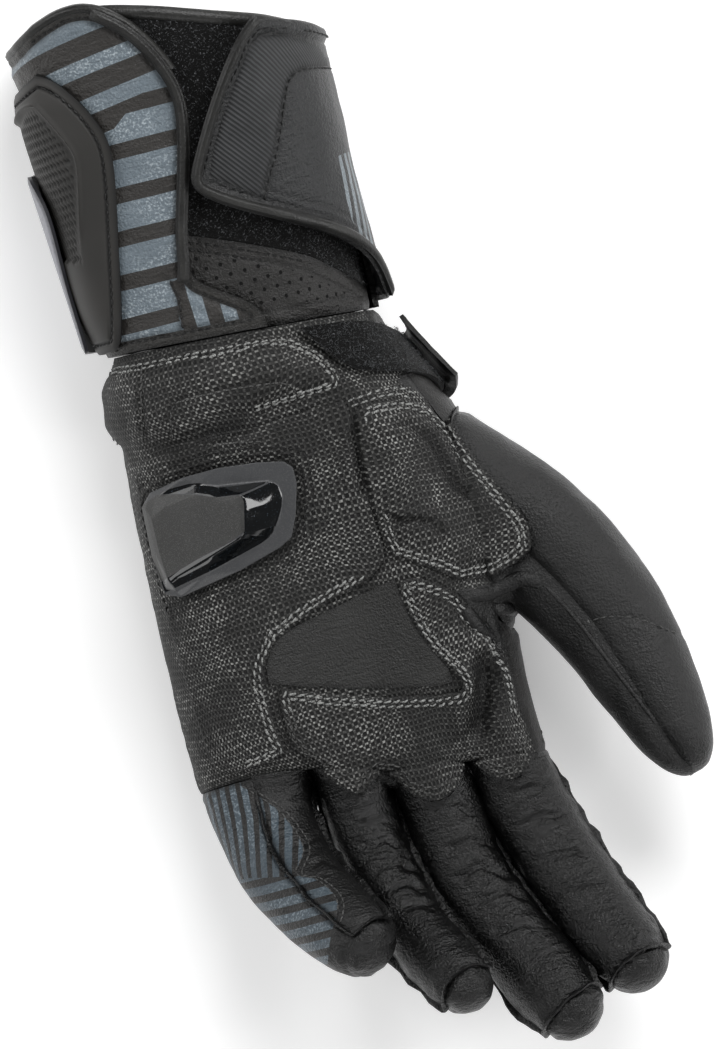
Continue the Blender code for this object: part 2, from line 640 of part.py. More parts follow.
def edge_distance(place, corners):
    """Distance from a flat place to the nearest side of an outline."""
    nearest = 1.0
    for number, end in enumerate(corners):
        start = corners[number - 1]
        run = end - start
        share = max(0.0, min(1.0, (place - start).dot(run) / run.length_squared))
        nearest = min(nearest, (start + run * share - place).length)
    return nearest


def over_surface(tree, place, lift):
    """A point this far off the palm's surface, seen straight down at a flat place."""
    hit, normal, _, _ = tree.ray_cast(Vector((place.x, place.y, 1.0)), Vector((0, 0, -1)))
    return hit + Vector((0, 0, lift / max(STEEPEST, abs(normal.z))))


def add_palm_patch(name, outline, collection, material, tree, base, wall, crown=0.0):
    bm = outline_sheet(outline)
    corners = flat_corners(outline)

    def swell(vert):
        return crown * smooth_step(edge_distance(vert.co, corners) / CROWN_REACH)

    return add_solid(
        name, collection, material, bm,
        lambda vert: over_surface(tree, vert.co, base),
        lambda vert: over_surface(tree, vert.co, base + wall + swell(vert)),
    )


def add_palm_slider(collection, material, tree, base):
    """The plate's upper side steps from its edge to the boss's foot and up to its top."""
    bm = bmesh.new()
    loops = []
    for level in ("edge", "foot", "top"):
        flat = [getattr(point, level) for point in SLIDER_POINTS]
        loops.append([bm.verts.new((a * PALM_WIDTH, -b * HAND_LENGTH, 0.0)) for a, b in flat])
    count = len(SLIDER_POINTS)
    for outer, inner in zip(loops, loops[1:]):
        for c in range(count):
            after = (c + 1) % count
            bm.faces.new((outer[c], outer[after], inner[after], inner[c]))
    centre = bmesh.ops.poke(bm, faces=[bm.faces.new(loops[-1])])["verts"]
    top = set(loops[-1] + centre)
    left = min(top, key=lambda vert: vert.co.x).co.copy()
    right = max(top, key=lambda vert: vert.co.x).co.copy()
    low = over_surface(tree, left, base + SLIDER_EDGE + SLIDER_LOW_RISE).z
    high = over_surface(tree, right, base + SLIDER_EDGE + SLIDER_RISE).z

    def lower(vert):
        return over_surface(tree, vert.co, base + (SLIDER_HOLLOW if vert in top else 0.0))

    def upper(vert):
        if vert not in top:
            return over_surface(tree, vert.co, base + SLIDER_EDGE)
        share = (vert.co.x - left.x) / (right.x - left.x)
        return Vector((vert.co.x, vert.co.y, blend(low, high, share)))

    return add_solid("palm_slider", collection, material, bm, lower, upper, crease=18)


def wrapped_place(tree, place):
    """Lays a flat place round the hand: past half the palm's width it goes down the side."""
    half = PALM_WIDTH / 2
    share = place.x / half
    if abs(share) < 1:
        guess = Vector((share * half, 0, WRIST_DEPTH / 2 * math.sqrt(1 - share * share)))
    else:
        over = (abs(share) - 1) * math.radians(90)
        guess = Vector((math.copysign(half * math.cos(over), share), 0, -WRIST_DEPTH / 2 * math.sin(over)))
    start = Vector((0.0, place.y, WRIST_DEPTH / 2))
    aim = guess.normalized()
    hit, normal, _, _ = tree.ray_cast(start, aim)
    return hit, aim / max(STEEPEST, abs(normal.dot(aim)))


def add_heel_patch(collection, material, tree):
    bm = outline_sheet(HEEL_OUTLINE)
    corners = flat_corners(HEEL_OUTLINE)

    def layer(vert, extra):
        place, outward = wrapped_place(tree, vert.co)
        return place + outward * extra

    def upper(vert):
        swell = PAD_CROWN * smooth_step(edge_distance(vert.co, corners) / CROWN_REACH)
        return layer(vert, HEEL_LIFT + PATCH_WALL + swell)

    return add_solid("heel_patch", collection, material, bm, lambda vert: layer(vert, HEEL_LIFT), upper)


# The cuff
def cuff_point(turn, along, lift=0.0):
    """A point of the cuff's outer face. turn is in degrees round from the thumb side."""
    half_width = blend(WRIST_WIDTH, CUFF_WIDTH, along) / 2
    half_depth = blend(WRIST_DEPTH, CUFF_DEPTH, along) / 2
    x, z = section_point(turn, half_width, half_depth)
    x_next, z_next = section_point(turn + 1, half_width, half_depth)
    tangent = Vector((x_next - x, 0, z_next - z))
    outward = Vector((tangent.z, 0, -tangent.x)).normalized()
    low = wrist_line(x) + SEAM_GAP
    high = value_at(MOUTH_LINE, x / half_width) * CUFF_LENGTH
    place = Vector((x, blend(low, high, along), z)) + outward * lift
    return Vector((place.x, place.y, max(place.z, 0.0 if lift >= 0 else -lift)))


def turn_at(across):
    """Degrees round the palm side where the cuff is at this share of its half width."""
    cosine = math.copysign(abs(across) ** (SECTION_POWER / 2), across)
    return math.degrees(math.acos(max(-1.0, min(1.0, cosine))))


def cuff_sheet(rows, columns):
    """An open sheet; rows are (along, first turn, last turn). Its vertices hold (turn, along)."""
    bm = bmesh.new()
    lines = []
    for along, start, end in rows:
        turns = [blend(start, end, c / columns) for c in range(columns + 1)]
        lines.append([bm.verts.new((turn, along, 0.0)) for turn in turns])
    for first, second in zip(lines, lines[1:]):
        for c in range(columns):
            bm.faces.new((first[c], first[c + 1], second[c + 1], second[c]))
    return bm


def add_cuff_layer(name, collection, material, bm, under, over):
    """under and over are lifts, or functions of a sheet place that give a lift."""
    def lift_of(lift, vert):
        return lift(vert.co) if callable(lift) else lift

    return add_solid(
        name, collection, material, bm,
        lambda vert: cuff_point(vert.co.x, vert.co.y, lift_of(under, vert)),
        lambda vert: cuff_point(vert.co.x, vert.co.y, lift_of(over, vert)),
    )


def add_cuff(collection, materials):
    shell_rows = [(point.along, turn_at(point.across), SHELL_THUMB_TURN) for point in STRIPE_EDGE]
    add_cuff_layer(
        "cuff_shell", collection, materials["striped"], cuff_sheet(shell_rows, 22), -CUFF_WALL, 0.0
    )
    inner_top = -CUFF_WALL - UNDER_GAP
    last_turn = SHELL_THUMB_TURN - 360 - UNDERLAP_TURN
    loop_turns = [blend(LOOP_FIRST_TURN, last_turn, c / LOOP_COLUMNS) for c in range(LOOP_COLUMNS + 1)]
    add_loop_panel(collection, materials, loop_turns, inner_top)
    add_wrist_panel(collection, materials, loop_turns, inner_top)
    add_tab(collection, materials)
    add_cuff_guard(collection, materials)
    leather = materials["leather"]
    add_band("cuff_binding", collection, leather, STRIPE_EDGE[2:], BAND_LIFT, -1)
    add_band("tab_binding", collection, leather, TAB_EDGE, LAYER_GAP + TAB_WALL + BAND_LIFT, 1)


def low_edge_at(turn):
    x, _ = section_point(turn, 1.0, 1.0)
    return value_at(LOOP_LOW_EDGE, x)


def add_two_edge_sheet(turns, low, high, steps):
    bm = bmesh.new()
    lines = []
    for step in range(steps + 1):
        line = []
        for turn in turns:
            along = blend(low(turn), high(turn), step / steps)
            line.append(bm.verts.new((turn, along, 0.0)))
        lines.append(line)
    for first, second in zip(lines, lines[1:]):
        for c in range(len(turns) - 1):
            bm.faces.new((first[c], first[c + 1], second[c + 1], second[c]))
    return bm


def add_loop_panel(collection, materials, turns, top):
    bm = add_two_edge_sheet(turns, low_edge_at, lambda turn: 0.985, 6)
    add_cuff_layer("cuff_loop_panel", collection, materials["loop"], bm, top - LOOP_WALL, top)


def add_wrist_panel(collection, materials, turns, top):
    seam = SEAM_GAP / CUFF_LENGTH
    bm = add_two_edge_sheet(turns, lambda turn: 0.0, lambda turn: low_edge_at(turn) - seam, 2)
    add_cuff_layer("wrist_panel", collection, materials["leather"], bm, top - LEATHER, top)


def add_tab(collection, materials):
    rows = [(point.along, turn_at(point.across), TAB_BACK_TURN) for point in TAB_EDGE]
    add_cuff_layer(
        "closure_tab", collection, materials["leather"], cuff_sheet(rows, 9),
        LAYER_GAP, LAYER_GAP + TAB_WALL,
    )
    tab_top = LAYER_GAP + TAB_WALL + BAND_LIFT
    patch_rows = [(row.along, turn_at(row.inner), turn_at(row.outer)) for row in TAB_GRIP_ROWS]
    add_cuff_layer(
        "closure_tab_grip", collection, materials["rubber"], cuff_sheet(patch_rows, 4),
        tab_top, tab_top + TAB_PATCH_WALL,
    )


def add_cuff_guard(collection, materials):
    rows = [(point.along, turn_at(point.across), GUARD_BACK_TURN) for point in CUFF_GUARD_LINE]
    edge_table = [(along, start) for along, start, _ in rows]
    low, high = edge_table[0][0], edge_table[-1][0]

    def rim_share(place):
        """0 at the guard's edge, 1 from its ridge inwards."""
        start = value_at(edge_table, place.y)
        slope = (HALF_TURN - start) * CUFF_RIDGE_SHARE
        inside = min((place.x - start) / slope, (GUARD_BACK_TURN - place.x) / GUARD_BACK_SLOPE)
        ends = min((place.y - low) / GUARD_LOW_SLOPE, (high - place.y) / GUARD_HIGH_SLOPE)
        return min(1.0, max(0.0, min(inside, ends)))

    def guard_top(place):
        return CUFF_GUARD_LIFT + CUFF_GUARD_EDGE + CUFF_GUARD_RISE * rim_share(place)

    add_cuff_layer(
        "cuff_guard", collection, materials["rubber"], cuff_sheet(rows, 9), CUFF_GUARD_LIFT, guard_top
    )
    plate_rows = [(point.along, turn_at(point.across), PLATE_BACK_TURN) for point in CUFF_PLATE_LINE]
    plate_base = CUFF_GUARD_LIFT + CUFF_GUARD_EDGE + CUFF_GUARD_RISE + LAYER_GAP
    add_cuff_layer(
        "cuff_guard_plate", collection, materials["grey_plastic"], cuff_sheet(plate_rows, 5),
        plate_base, plate_base + CUFF_PLATE_WALL,
    )


def back_to_cuff(place):
    """The turn and the share of its length at which a place lies over the cuff's outer face."""
    half_width, half_depth = WRIST_WIDTH / 2, WRIST_DEPTH / 2
    for _ in range(4):
        across = max(-1.0, min(1.0, place.x / half_width))
        low = wrist_line(across * half_width) + SEAM_GAP
        high = value_at(MOUTH_LINE, across) * CUFF_LENGTH
        along = max(0.0, min(1.0, (place.y - low) / (high - low)))
        half_width = blend(WRIST_WIDTH, CUFF_WIDTH, along) / 2
        half_depth = blend(WRIST_DEPTH, CUFF_DEPTH, along) / 2
    x = place.x / half_width
    z = (place.z - half_depth + FLAT_BACK) / half_depth
    scale = (abs(x) ** SECTION_POWER + abs(z) ** SECTION_POWER) ** (-1 / SECTION_POWER)
    power = SECTION_POWER / 2
    cosine = math.copysign(abs(x * scale) ** power, x)
    sine = math.copysign(abs(z * scale) ** power, z)
    return math.degrees(math.atan2(sine, cosine)), along


def add_band(name, collection, material, points, lift, side):
    """A strip folded over a layer's edge. side is 1 or -1, for the side of the line it lies on."""
    bm = bmesh.new()
    line = [cuff_point(turn_at(point.across), point.along, lift) for point in points]
    tops = {}
    rows = []
    for number, place in enumerate(line):
        aim = line[min(number + 1, len(line) - 1)] - line[max(number - 1, 0)]
        turn, along = back_to_cuff(place)
        outward = cuff_point(turn, along, MM) - cuff_point(turn, along)
        across = aim.cross(outward).normalized() * side * BINDING_WIDTH
        row = []
        for share, swell in BINDING_SECTION:
            turn, along = back_to_cuff(place + across * share)
            vert = bm.verts.new(cuff_point(turn, along, lift))
            tops[vert] = cuff_point(turn, along, lift + BINDING_WALL * swell)
            row.append(vert)
        rows.append(row)
    for first, second in zip(rows, rows[1:]):
        for c in range(2):
            bm.faces.new((first[c], first[c + 1], second[c + 1], second[c]))
    return add_solid(
        name, collection, material, bm, lambda vert: vert.co.copy(), lambda vert: tops[vert]
    )


# The wrist strap, laid round the thumb side of the wrist
def strap_sheet(rows, steps):
    bm = bmesh.new()
    lines = []
    for row in rows:
        ends = [Vector((across * PALM_WIDTH, -along * HAND_LENGTH, 0)) for across, along in row]
        lines.append([bm.verts.new(ends[0].lerp(ends[1], step / steps)) for step in range(steps + 1)])
    for first, second in zip(lines, lines[1:]):
        for c in range(steps):
            bm.faces.new((first[c], first[c + 1], second[c + 1], second[c]))
    return bm


def add_strap(collection, materials, tree):
    def layer(vert, extra):
        place, outward = wrapped_place(tree, vert.co)
        return place + outward * extra

    add_solid(
        "wrist_strap", collection, materials["loop"], strap_sheet(STRAP_ROWS, 3),
        lambda vert: layer(vert, STRAP_LIFT), lambda vert: layer(vert, STRAP_LIFT + STRAP_WALL),
    )
    tab_start = STRAP_TAB_ROWS[0].upper[0] * PALM_WIDTH
    tab_end = STRAP_TAB_ROWS[-1].upper[0] * PALM_WIDTH

    def tab_base(vert):
        share = (vert.co.x - tab_start) / (tab_end - tab_start)
        return STRAP_LIFT + STRAP_WALL + LAYER_GAP + STRAP_TAB_CURL * (1 - smooth_step(share))

    add_solid(
        "strap_end_tab", collection, materials["leather"], strap_sheet(STRAP_TAB_ROWS, 3),
        lambda vert: layer(vert, tab_base(vert)), lambda vert: layer(vert, tab_base(vert) + LEATHER),
    )


def move_to_origin(collection):
    """Puts the origin under the middle of the glove, on the face it rests on."""
    corners = [vert.co for thing in collection.objects for vert in thing.data.vertices]
    low = [min(corner[axis] for corner in corners) for axis in range(3)]
    high = [max(corner[axis] for corner in corners) for axis in range(3)]
    middle = Vector(((low[0] + high[0]) / 2, (low[1] + high[1]) / 2, low[2]))
    for thing in collection.objects:
        thing.data.transform(Matrix.Translation(-middle))


def main():
    clear_scene()
    materials = make_materials()
    glove = bpy.data.collections.new("motorcycle_glove")
    bpy.context.scene.collection.children.link(glove)
    surface = subdivided(make_hand_cage(), glove)
    tree = BVHTree.FromBMesh(surface)
    add_hand_panels(surface, glove, materials)
    grip = materials["grip"]
    for name, outline, crown in (
        ("thenar_pad", THENAR_OUTLINE, PAD_CROWN),
        ("hypothenar_panel", HYPOTHENAR_OUTLINE, 0.0),
        ("grip_panel", GRIP_OUTLINE, 0.0),
    ):
        add_palm_patch(name, outline, glove, grip, tree, PATCH_LIFT, PATCH_WALL, crown)
    add_palm_patch("palm_inset", INSET_OUTLINE, glove, materials["leather"], tree, LAYER_GAP, INSET_WALL)
    add_palm_slider(glove, materials["plastic"], tree, PATCH_LIFT + PATCH_WALL + SLIDER_GAP)
    add_heel_patch(glove, grip, tree)
    add_cuff(glove, materials)
    add_strap(glove, materials, tree)
    surface.free()
    move_to_origin(glove)


main()
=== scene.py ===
import json
import math
import random

import bmesh
import bpy
import numpy as np
from mathutils import Matrix, Vector, noise
from mathutils.bvhtree import BVHTree
from mathutils.kdtree import KDTree

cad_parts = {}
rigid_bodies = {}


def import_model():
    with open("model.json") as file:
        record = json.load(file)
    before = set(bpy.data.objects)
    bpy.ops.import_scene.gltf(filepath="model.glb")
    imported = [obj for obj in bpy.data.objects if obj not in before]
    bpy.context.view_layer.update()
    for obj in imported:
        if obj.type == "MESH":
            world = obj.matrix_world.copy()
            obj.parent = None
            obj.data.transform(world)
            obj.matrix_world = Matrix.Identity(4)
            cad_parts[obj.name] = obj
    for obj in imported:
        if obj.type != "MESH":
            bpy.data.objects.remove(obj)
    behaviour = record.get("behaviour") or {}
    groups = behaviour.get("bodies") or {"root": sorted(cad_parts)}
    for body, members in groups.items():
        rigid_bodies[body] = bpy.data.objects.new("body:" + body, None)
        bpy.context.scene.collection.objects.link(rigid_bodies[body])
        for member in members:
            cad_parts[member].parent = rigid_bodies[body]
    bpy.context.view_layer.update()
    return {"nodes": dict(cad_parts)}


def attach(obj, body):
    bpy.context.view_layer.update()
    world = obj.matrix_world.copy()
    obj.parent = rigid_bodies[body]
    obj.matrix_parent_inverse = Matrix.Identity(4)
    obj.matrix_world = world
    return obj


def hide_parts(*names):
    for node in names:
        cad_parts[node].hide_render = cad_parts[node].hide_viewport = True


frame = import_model()
print("frame loaded")

mm = 0.001
rand = random.Random(11)

# Places on the glove are noted as they lie in the picture, in its points of 0.315 mm
pointSize = 0.315
imageRight = Vector((0.9613, -0.2756, 0.0))
imageUp = Vector((0.2756, 0.9613, 0.0))
middleOnGlove = Vector((-9.23, -1.94, 0.0))


def seen(*points):
    made = []
    for px, py in points:
        place = middleOnGlove + (imageRight * (px - 357) + imageUp * (524 - py)) * pointSize
        made.append((place.x, place.y))
    return made


def inPicture(coords):
    x, y = coords[..., 0] - middleOnGlove.x, coords[..., 1] - middleOnGlove.y
    px = 357 + (x * imageRight.x + y * imageRight.y) / pointSize
    py = 524 - (x * imageUp.x + y * imageUp.y) / pointSize
    return px, py


# Reading and writing meshes, in millimetres
def readCoords(mesh):
    flat = np.empty(len(mesh.vertices) * 3, np.float32)
    mesh.vertices.foreach_get("co", flat)
    return flat.reshape(-1, 3).astype(float) / mm


def readNormals(mesh):
    flat = np.empty(len(mesh.vertices) * 3, np.float32)
    mesh.vertex_normals.foreach_get("vector", flat)
    return flat.reshape(-1, 3).astype(float)


def writeCoords(mesh, coords):
    mesh.vertices.foreach_set("co", (coords * mm).astype(np.float32).ravel())
    mesh.update()


def setAttribute(mesh, name, values):
    layer = mesh.attributes.get(name) or mesh.attributes.new(name, "FLOAT", "POINT")
    layer.data.foreach_set("value", np.asarray(values, np.float32))


def smooth(share):
    share = np.clip(share, 0.0, 1.0)
    return share * share * (3 - 2 * share)


def hump(distance, width):
    return np.exp(-((distance / width) ** 2))


def noiseAt(coords, size, seed=0.0):
    # size is the width of the lumps, one number or three
    scaled = coords / np.asarray(size, float) + seed
    return np.array([noise.noise(Vector(place)) for place in scaled])


def makeActive(piece):
    bpy.ops.object.select_all(action="DESELECT")
    piece.select_set(True)
    bpy.context.view_layer.objects.active = piece


def applyModifier(piece, kind, **settings):
    makeActive(piece)
    modifier = piece.modifiers.new(kind.lower(), kind)
    for key, value in settings.items():
        setattr(modifier, key, value)
    bpy.ops.object.modifier_apply(modifier=modifier.name)


def newPiece(title, mesh):
    piece = bpy.data.objects.new(title, mesh)
    bpy.context.scene.collection.objects.link(piece)
    return piece


def meshFrom(title, points, faces):
    mesh = bpy.data.meshes.new(title)
    mesh.from_pydata([tuple(p) for p in np.asarray(points) * mm], [], faces)
    mesh.validate()
    return mesh


# The outer face of a panel, as an open sheet
def thinFaces(bm):
    # Faces with the panel's other face close behind them, which leaves out its narrow rim
    tree = BVHTree.FromBMesh(bm)
    thin = set()
    for face in bm.faces:
        start = face.calc_center_median() - face.normal * 0.05 * mm
        hit, _, index, _ = tree.ray_cast(start, -face.normal, 5.5 * mm)
        if hit is not None and bm.faces[index].normal.dot(face.normal) < -0.5:
            thin.add(face)
    return thin


def faceGroups(thin):
    groups, seenFaces = [], set()
    for first in thin:
        if first in seenFaces:
            continue
        stack, group = [first], []
        seenFaces.add(first)
        while stack:
            face = stack.pop()
            group.append(face)
            for edge in face.edges:
                for other in edge.link_faces:
                    if other in thin and other not in seenFaces and face.normal.dot(other.normal) > 0.5:
                        seenFaces.add(other)
                        stack.append(other)
        groups.append(group)
    groups.sort(key=lambda group: -sum(face.calc_area() for face in group))
    return groups[:2]


def meanHeight(group):
    area = sum(face.calc_area() for face in group)
    return sum(face.calc_center_median().z * face.calc_area() for face in group) / area


def outerSheet(nodeName, facingUp=False):
    bm = bmesh.new()
    bm.from_mesh(frame["nodes"][nodeName].data)
    bmesh.ops.remove_doubles(bm, verts=bm.verts[:], dist=0.02 * mm)
    bm.normal_update()
    bm.faces.ensure_lookup_table()
    groups = faceGroups(thinFaces(bm))
    if facingUp:
        groups.sort(key=lambda group: -meanHeight(group))
    weight = {}
    for sign, group in zip((1, -1), groups):
        for face in group:
            for vert in face.verts:
                weight[vert] = weight.get(vert, 0.0) + sign * face.calc_area()
    outside = {vert for vert, total in weight.items() if total > 0}
    others = [face for face in bm.faces if not all(vert in outside for vert in face.verts)]
    bmesh.ops.delete(bm, geom=others, context="FACES")
    bmesh.ops.join_triangles(
        bm, faces=bm.faces[:], angle_face_threshold=math.radians(50),
        angle_shape_threshold=math.radians(60),
    )
    return bm


def refinedSheet(nodeName, title, levels, facingUp=False):
    bm = outerSheet(nodeName, facingUp)
    mesh = bpy.data.meshes.new(title)
    bm.to_mesh(mesh)
    bm.free()
    piece = newPiece(title, mesh)
    applyModifier(
        piece, "SUBSURF", levels=levels, render_levels=levels, boundary_smooth="PRESERVE_CORNERS"
    )
    return piece


def boundaryLoops(mesh):
    # Each border as an ordered list of vertex numbers, the longest first
    count = {}
    for polygon in mesh.polygons:
        for key in polygon.edge_keys:
            count[key] = count.get(key, 0) + 1
    links = {}
    for (a, b), uses in count.items():
        if uses == 1:
            links.setdefault(a, []).append(b)
            links.setdefault(b, []).append(a)
    loops, left = [], set(links)
    while left:
        here = min(left)
        loop = [here]
        left.discard(here)
        while True:
            onward = [v for v in links[here] if v in left]
            if not onward:
                break
            here = onward[0]
            left.discard(here)
            loop.append(here)
        loops.append(loop)
    loops.sort(key=len, reverse=True)
    return loops


def edgeDistance(mesh, coords):
    places = []
    for loop in boundaryLoops(mesh):
        ring = coords[loop + loop[:1]]
        for share in (0.0, 0.25, 0.5, 0.75):
            places.append(ring[:-1] * (1 - share) + ring[1:] * share)
    places = np.concatenate(places)
    tree = KDTree(len(places))
    for number, place in enumerate(places):
        tree.insert(place, number)
    tree.balance()
    return np.array([tree.find(place)[2] for place in coords])


def treeOf(piece):
    bm = bmesh.new()
    bm.from_mesh(piece.data)
    tree = BVHTree.FromBMesh(bm)
    bm.free()
    return tree


# Lines and zones, drawn as seen from straight above
def curved(points, steps=6):
    points = [Vector(p) for p in points]
    padded = [points[0] * 2 - points[1]] + points + [points[-1] * 2 - points[-2]]
    made = []
    for a, b, c, d in zip(padded, padded[1:], padded[2:], padded[3:]):
        for step in range(steps):
            t = step / steps
            made.append(
                0.5 * ((2 * b) + (c - a) * t + (2 * a - 5 * b + 4 * c - d) * t * t
                       + (3 * b - a - 3 * c + d) * t ** 3)
            )
    return made + [points[-1]]


def nearLine(coords, points):
    # Distance to a line, how far along it the nearest place is (0 to 1), and the side (1 is its left)
    line = np.array([tuple(p)[:2] for p in points])
    lengths = np.hypot(*(line[1:] - line[:-1]).T)
    best = np.full(len(coords), 1e9)
    along, side = np.zeros(len(coords)), np.ones(len(coords))
    passed = 0.0
    for start, end, length in zip(line, line[1:], lengths):
        run = end - start
        offset = coords[:, :2] - start
        share = np.clip(offset @ run / max(length * length, 1e-9), 0, 1)
        rest = offset - share[:, None] * run
        distance = np.hypot(rest[:, 0], rest[:, 1])
        closer = distance < best
        best = np.where(closer, distance, best)
        along = np.where(closer, (passed + share * length) / lengths.sum(), along)
        side = np.where(closer, np.sign(run[0] * offset[:, 1] - run[1] * offset[:, 0]), side)
        passed += length
    return best, along, side


def insideOutline(coords, outline):
    x, y = coords[:, 0], coords[:, 1]
    inside = np.zeros(len(coords), bool)
    for (x0, y0), (x1, y1) in zip(outline, outline[1:] + outline[:1]):
        if y0 != y1:
            inside ^= ((y0 > y) != (y1 > y)) & (x < (x1 - x0) * (y - y0) / (y1 - y0) + x0)
    return inside


def zoneOf(coords, outline):
    # Distance to an outline, positive inside it
    distance = nearLine(coords, outline + outline[:1])[0]
    return np.where(insideOutline(coords, outline), distance, -distance)


def leftOf(coords, line):
    distance, _, side = nearLine(coords, line)
    return distance * side


def foldRelief(coords, normals, folds, waver=0.0):
    # A hollow along each line with raised shoulders, only on what faces up
    total = np.zeros(len(coords))
    if not folds:
        return total
    moved = coords.copy()
    if waver:
        moved[:, 0] += waver * noiseAt(coords, 5.0, 21.0)
        moved[:, 1] += waver * noiseAt(coords, 5.0, 33.0)
    vary = 1 + 0.5 * noiseAt(coords, 7.0, 41.0) if waver else 1.0
    for points, depth, width in folds:
        distance, along, _ = nearLine(moved, curved(points))
        taper = smooth(np.minimum(along, 1 - along) / 0.3)
        shape = 0.4 * hump(distance - 2.2 * width, 1.2 * width) - hump(distance, width)
        total += depth * taper * shape * vary
    return total * np.clip(normals[:, 2] * 2.2, 0, 1)


def foldShade(coords, folds):
    # The broad shade in and beside the deeper folds
    shade = np.zeros(len(coords))
    for points, depth, width in folds:
        distance, along, _ = nearLine(coords, curved(points))
        taper = smooth(np.minimum(along, 1 - along) / 0.25)
        shade = np.maximum(shade, 0.75 * min(max(depth, 0) / 1.4, 1) * taper * hump(distance, 2.7 * width))
    return shade


def addPatternMap(piece, middle=-27.2):
    # A flat map in millimetres, run down the sides of the glove
    mesh = piece.data
    coords = readCoords(mesh)
    lean = smooth(np.abs(coords[:, 0] - middle) / 60) * np.sign(coords[:, 0] - middle)
    flat = np.stack([coords[:, 0] + lean * (60 - coords[:, 2]), coords[:, 1]], 1)
    corners = np.empty(len(mesh.loops), np.int32)
    mesh.loops.foreach_get("vertex_index", corners)
    layer = mesh.uv_layers.new(name="pattern")
    layer.data.foreach_set("uv", flat[corners].astype(np.float32).ravel())


# Materials
def fromHex(code):
    # A display colour such as "3f3d3b" as the linear colour that a shader takes
    made = []
    for place in (0, 2, 4):
        value = int(code[place:place + 2], 16) / 255
        made.append(value / 12.92 if value <= 0.04045 else ((value + 0.055) / 1.055) ** 2.4)
    return (*made, 1.0)


def addNode(tree, kind, *values, inputs=None, **settings):
    # Adds a shader node and gives its first live output; values fill its live inputs in order
    made = tree.nodes.new("ShaderNode" + kind)
    for key, value in settings.items():
        setattr(made, key, value)
    live = [socket for socket in made.inputs if socket.enabled]
    pairs = list(zip(live, values)) + [(made.inputs[key], value) for key, value in (inputs or {}).items()]
    for socket, value in pairs:
        if isinstance(value, bpy.types.NodeSocket):
            tree.links.new(value, socket)
        else:
            socket.default_value = value
    return next(socket for socket in made.outputs if socket.enabled)


def startMaterial(name, **values):
    material = bpy.data.materials.new(name)
    material.use_nodes = True
    tree = material.node_tree
    shader = tree.nodes["Principled BSDF"]
    for key, value in values.items():
        shader.inputs[key.replace("_", " ")].default_value = value
    return material, tree, shader


def finishMaterial(tree, shader, colour, height, distance, shade=0.8):
    # Colour darkened towards black as painted shade where the piece's stored shade value is high, and height as a bump
    paintedShade = addNode(tree, "Attribute", attribute_name="paintedShade").node.outputs["Fac"]
    share = addNode(tree, "Math", paintedShade, shade, operation="MULTIPLY")
    dark = addNode(tree, "Mix", share, colour, fromHex("050505"), data_type="RGBA")
    tree.links.new(dark, shader.inputs["Base Color"])
    bump = addNode(tree, "Bump", inputs={"Height": height, "Distance": distance})
    tree.links.new(bump, shader.inputs["Normal"])


def leatherHeight(tree, place, grain, wrinkle, wrinkleTurn):
    # Pebbled grain, finer noise in it, and fine wrinkles that run across the stretch of the hide
    cells = addNode(tree, "TexVoronoi", feature="SMOOTH_F1", inputs={"Vector": place, "Scale": 1000 / grain})
    fine = addNode(tree, "TexNoise", inputs={"Vector": place, "Scale": 1700 / grain, "Detail": 3.0})
    pebbles = addNode(tree, "Math", cells, fine, operation="ADD")
    turned = addNode(
        tree, "Mapping", place, inputs={"Rotation": (0, 0, wrinkleTurn), "Scale": (0.2, 1.0, 0.45)}
    )
    lines = addNode(
        tree, "TexNoise", inputs={"Vector": turned, "Scale": 560.0, "Detail": 4.0, "Distortion": 0.7}
    )
    return addNode(tree, "Math", lines, 2.4 * wrinkle, pebbles, operation="MULTIPLY_ADD")


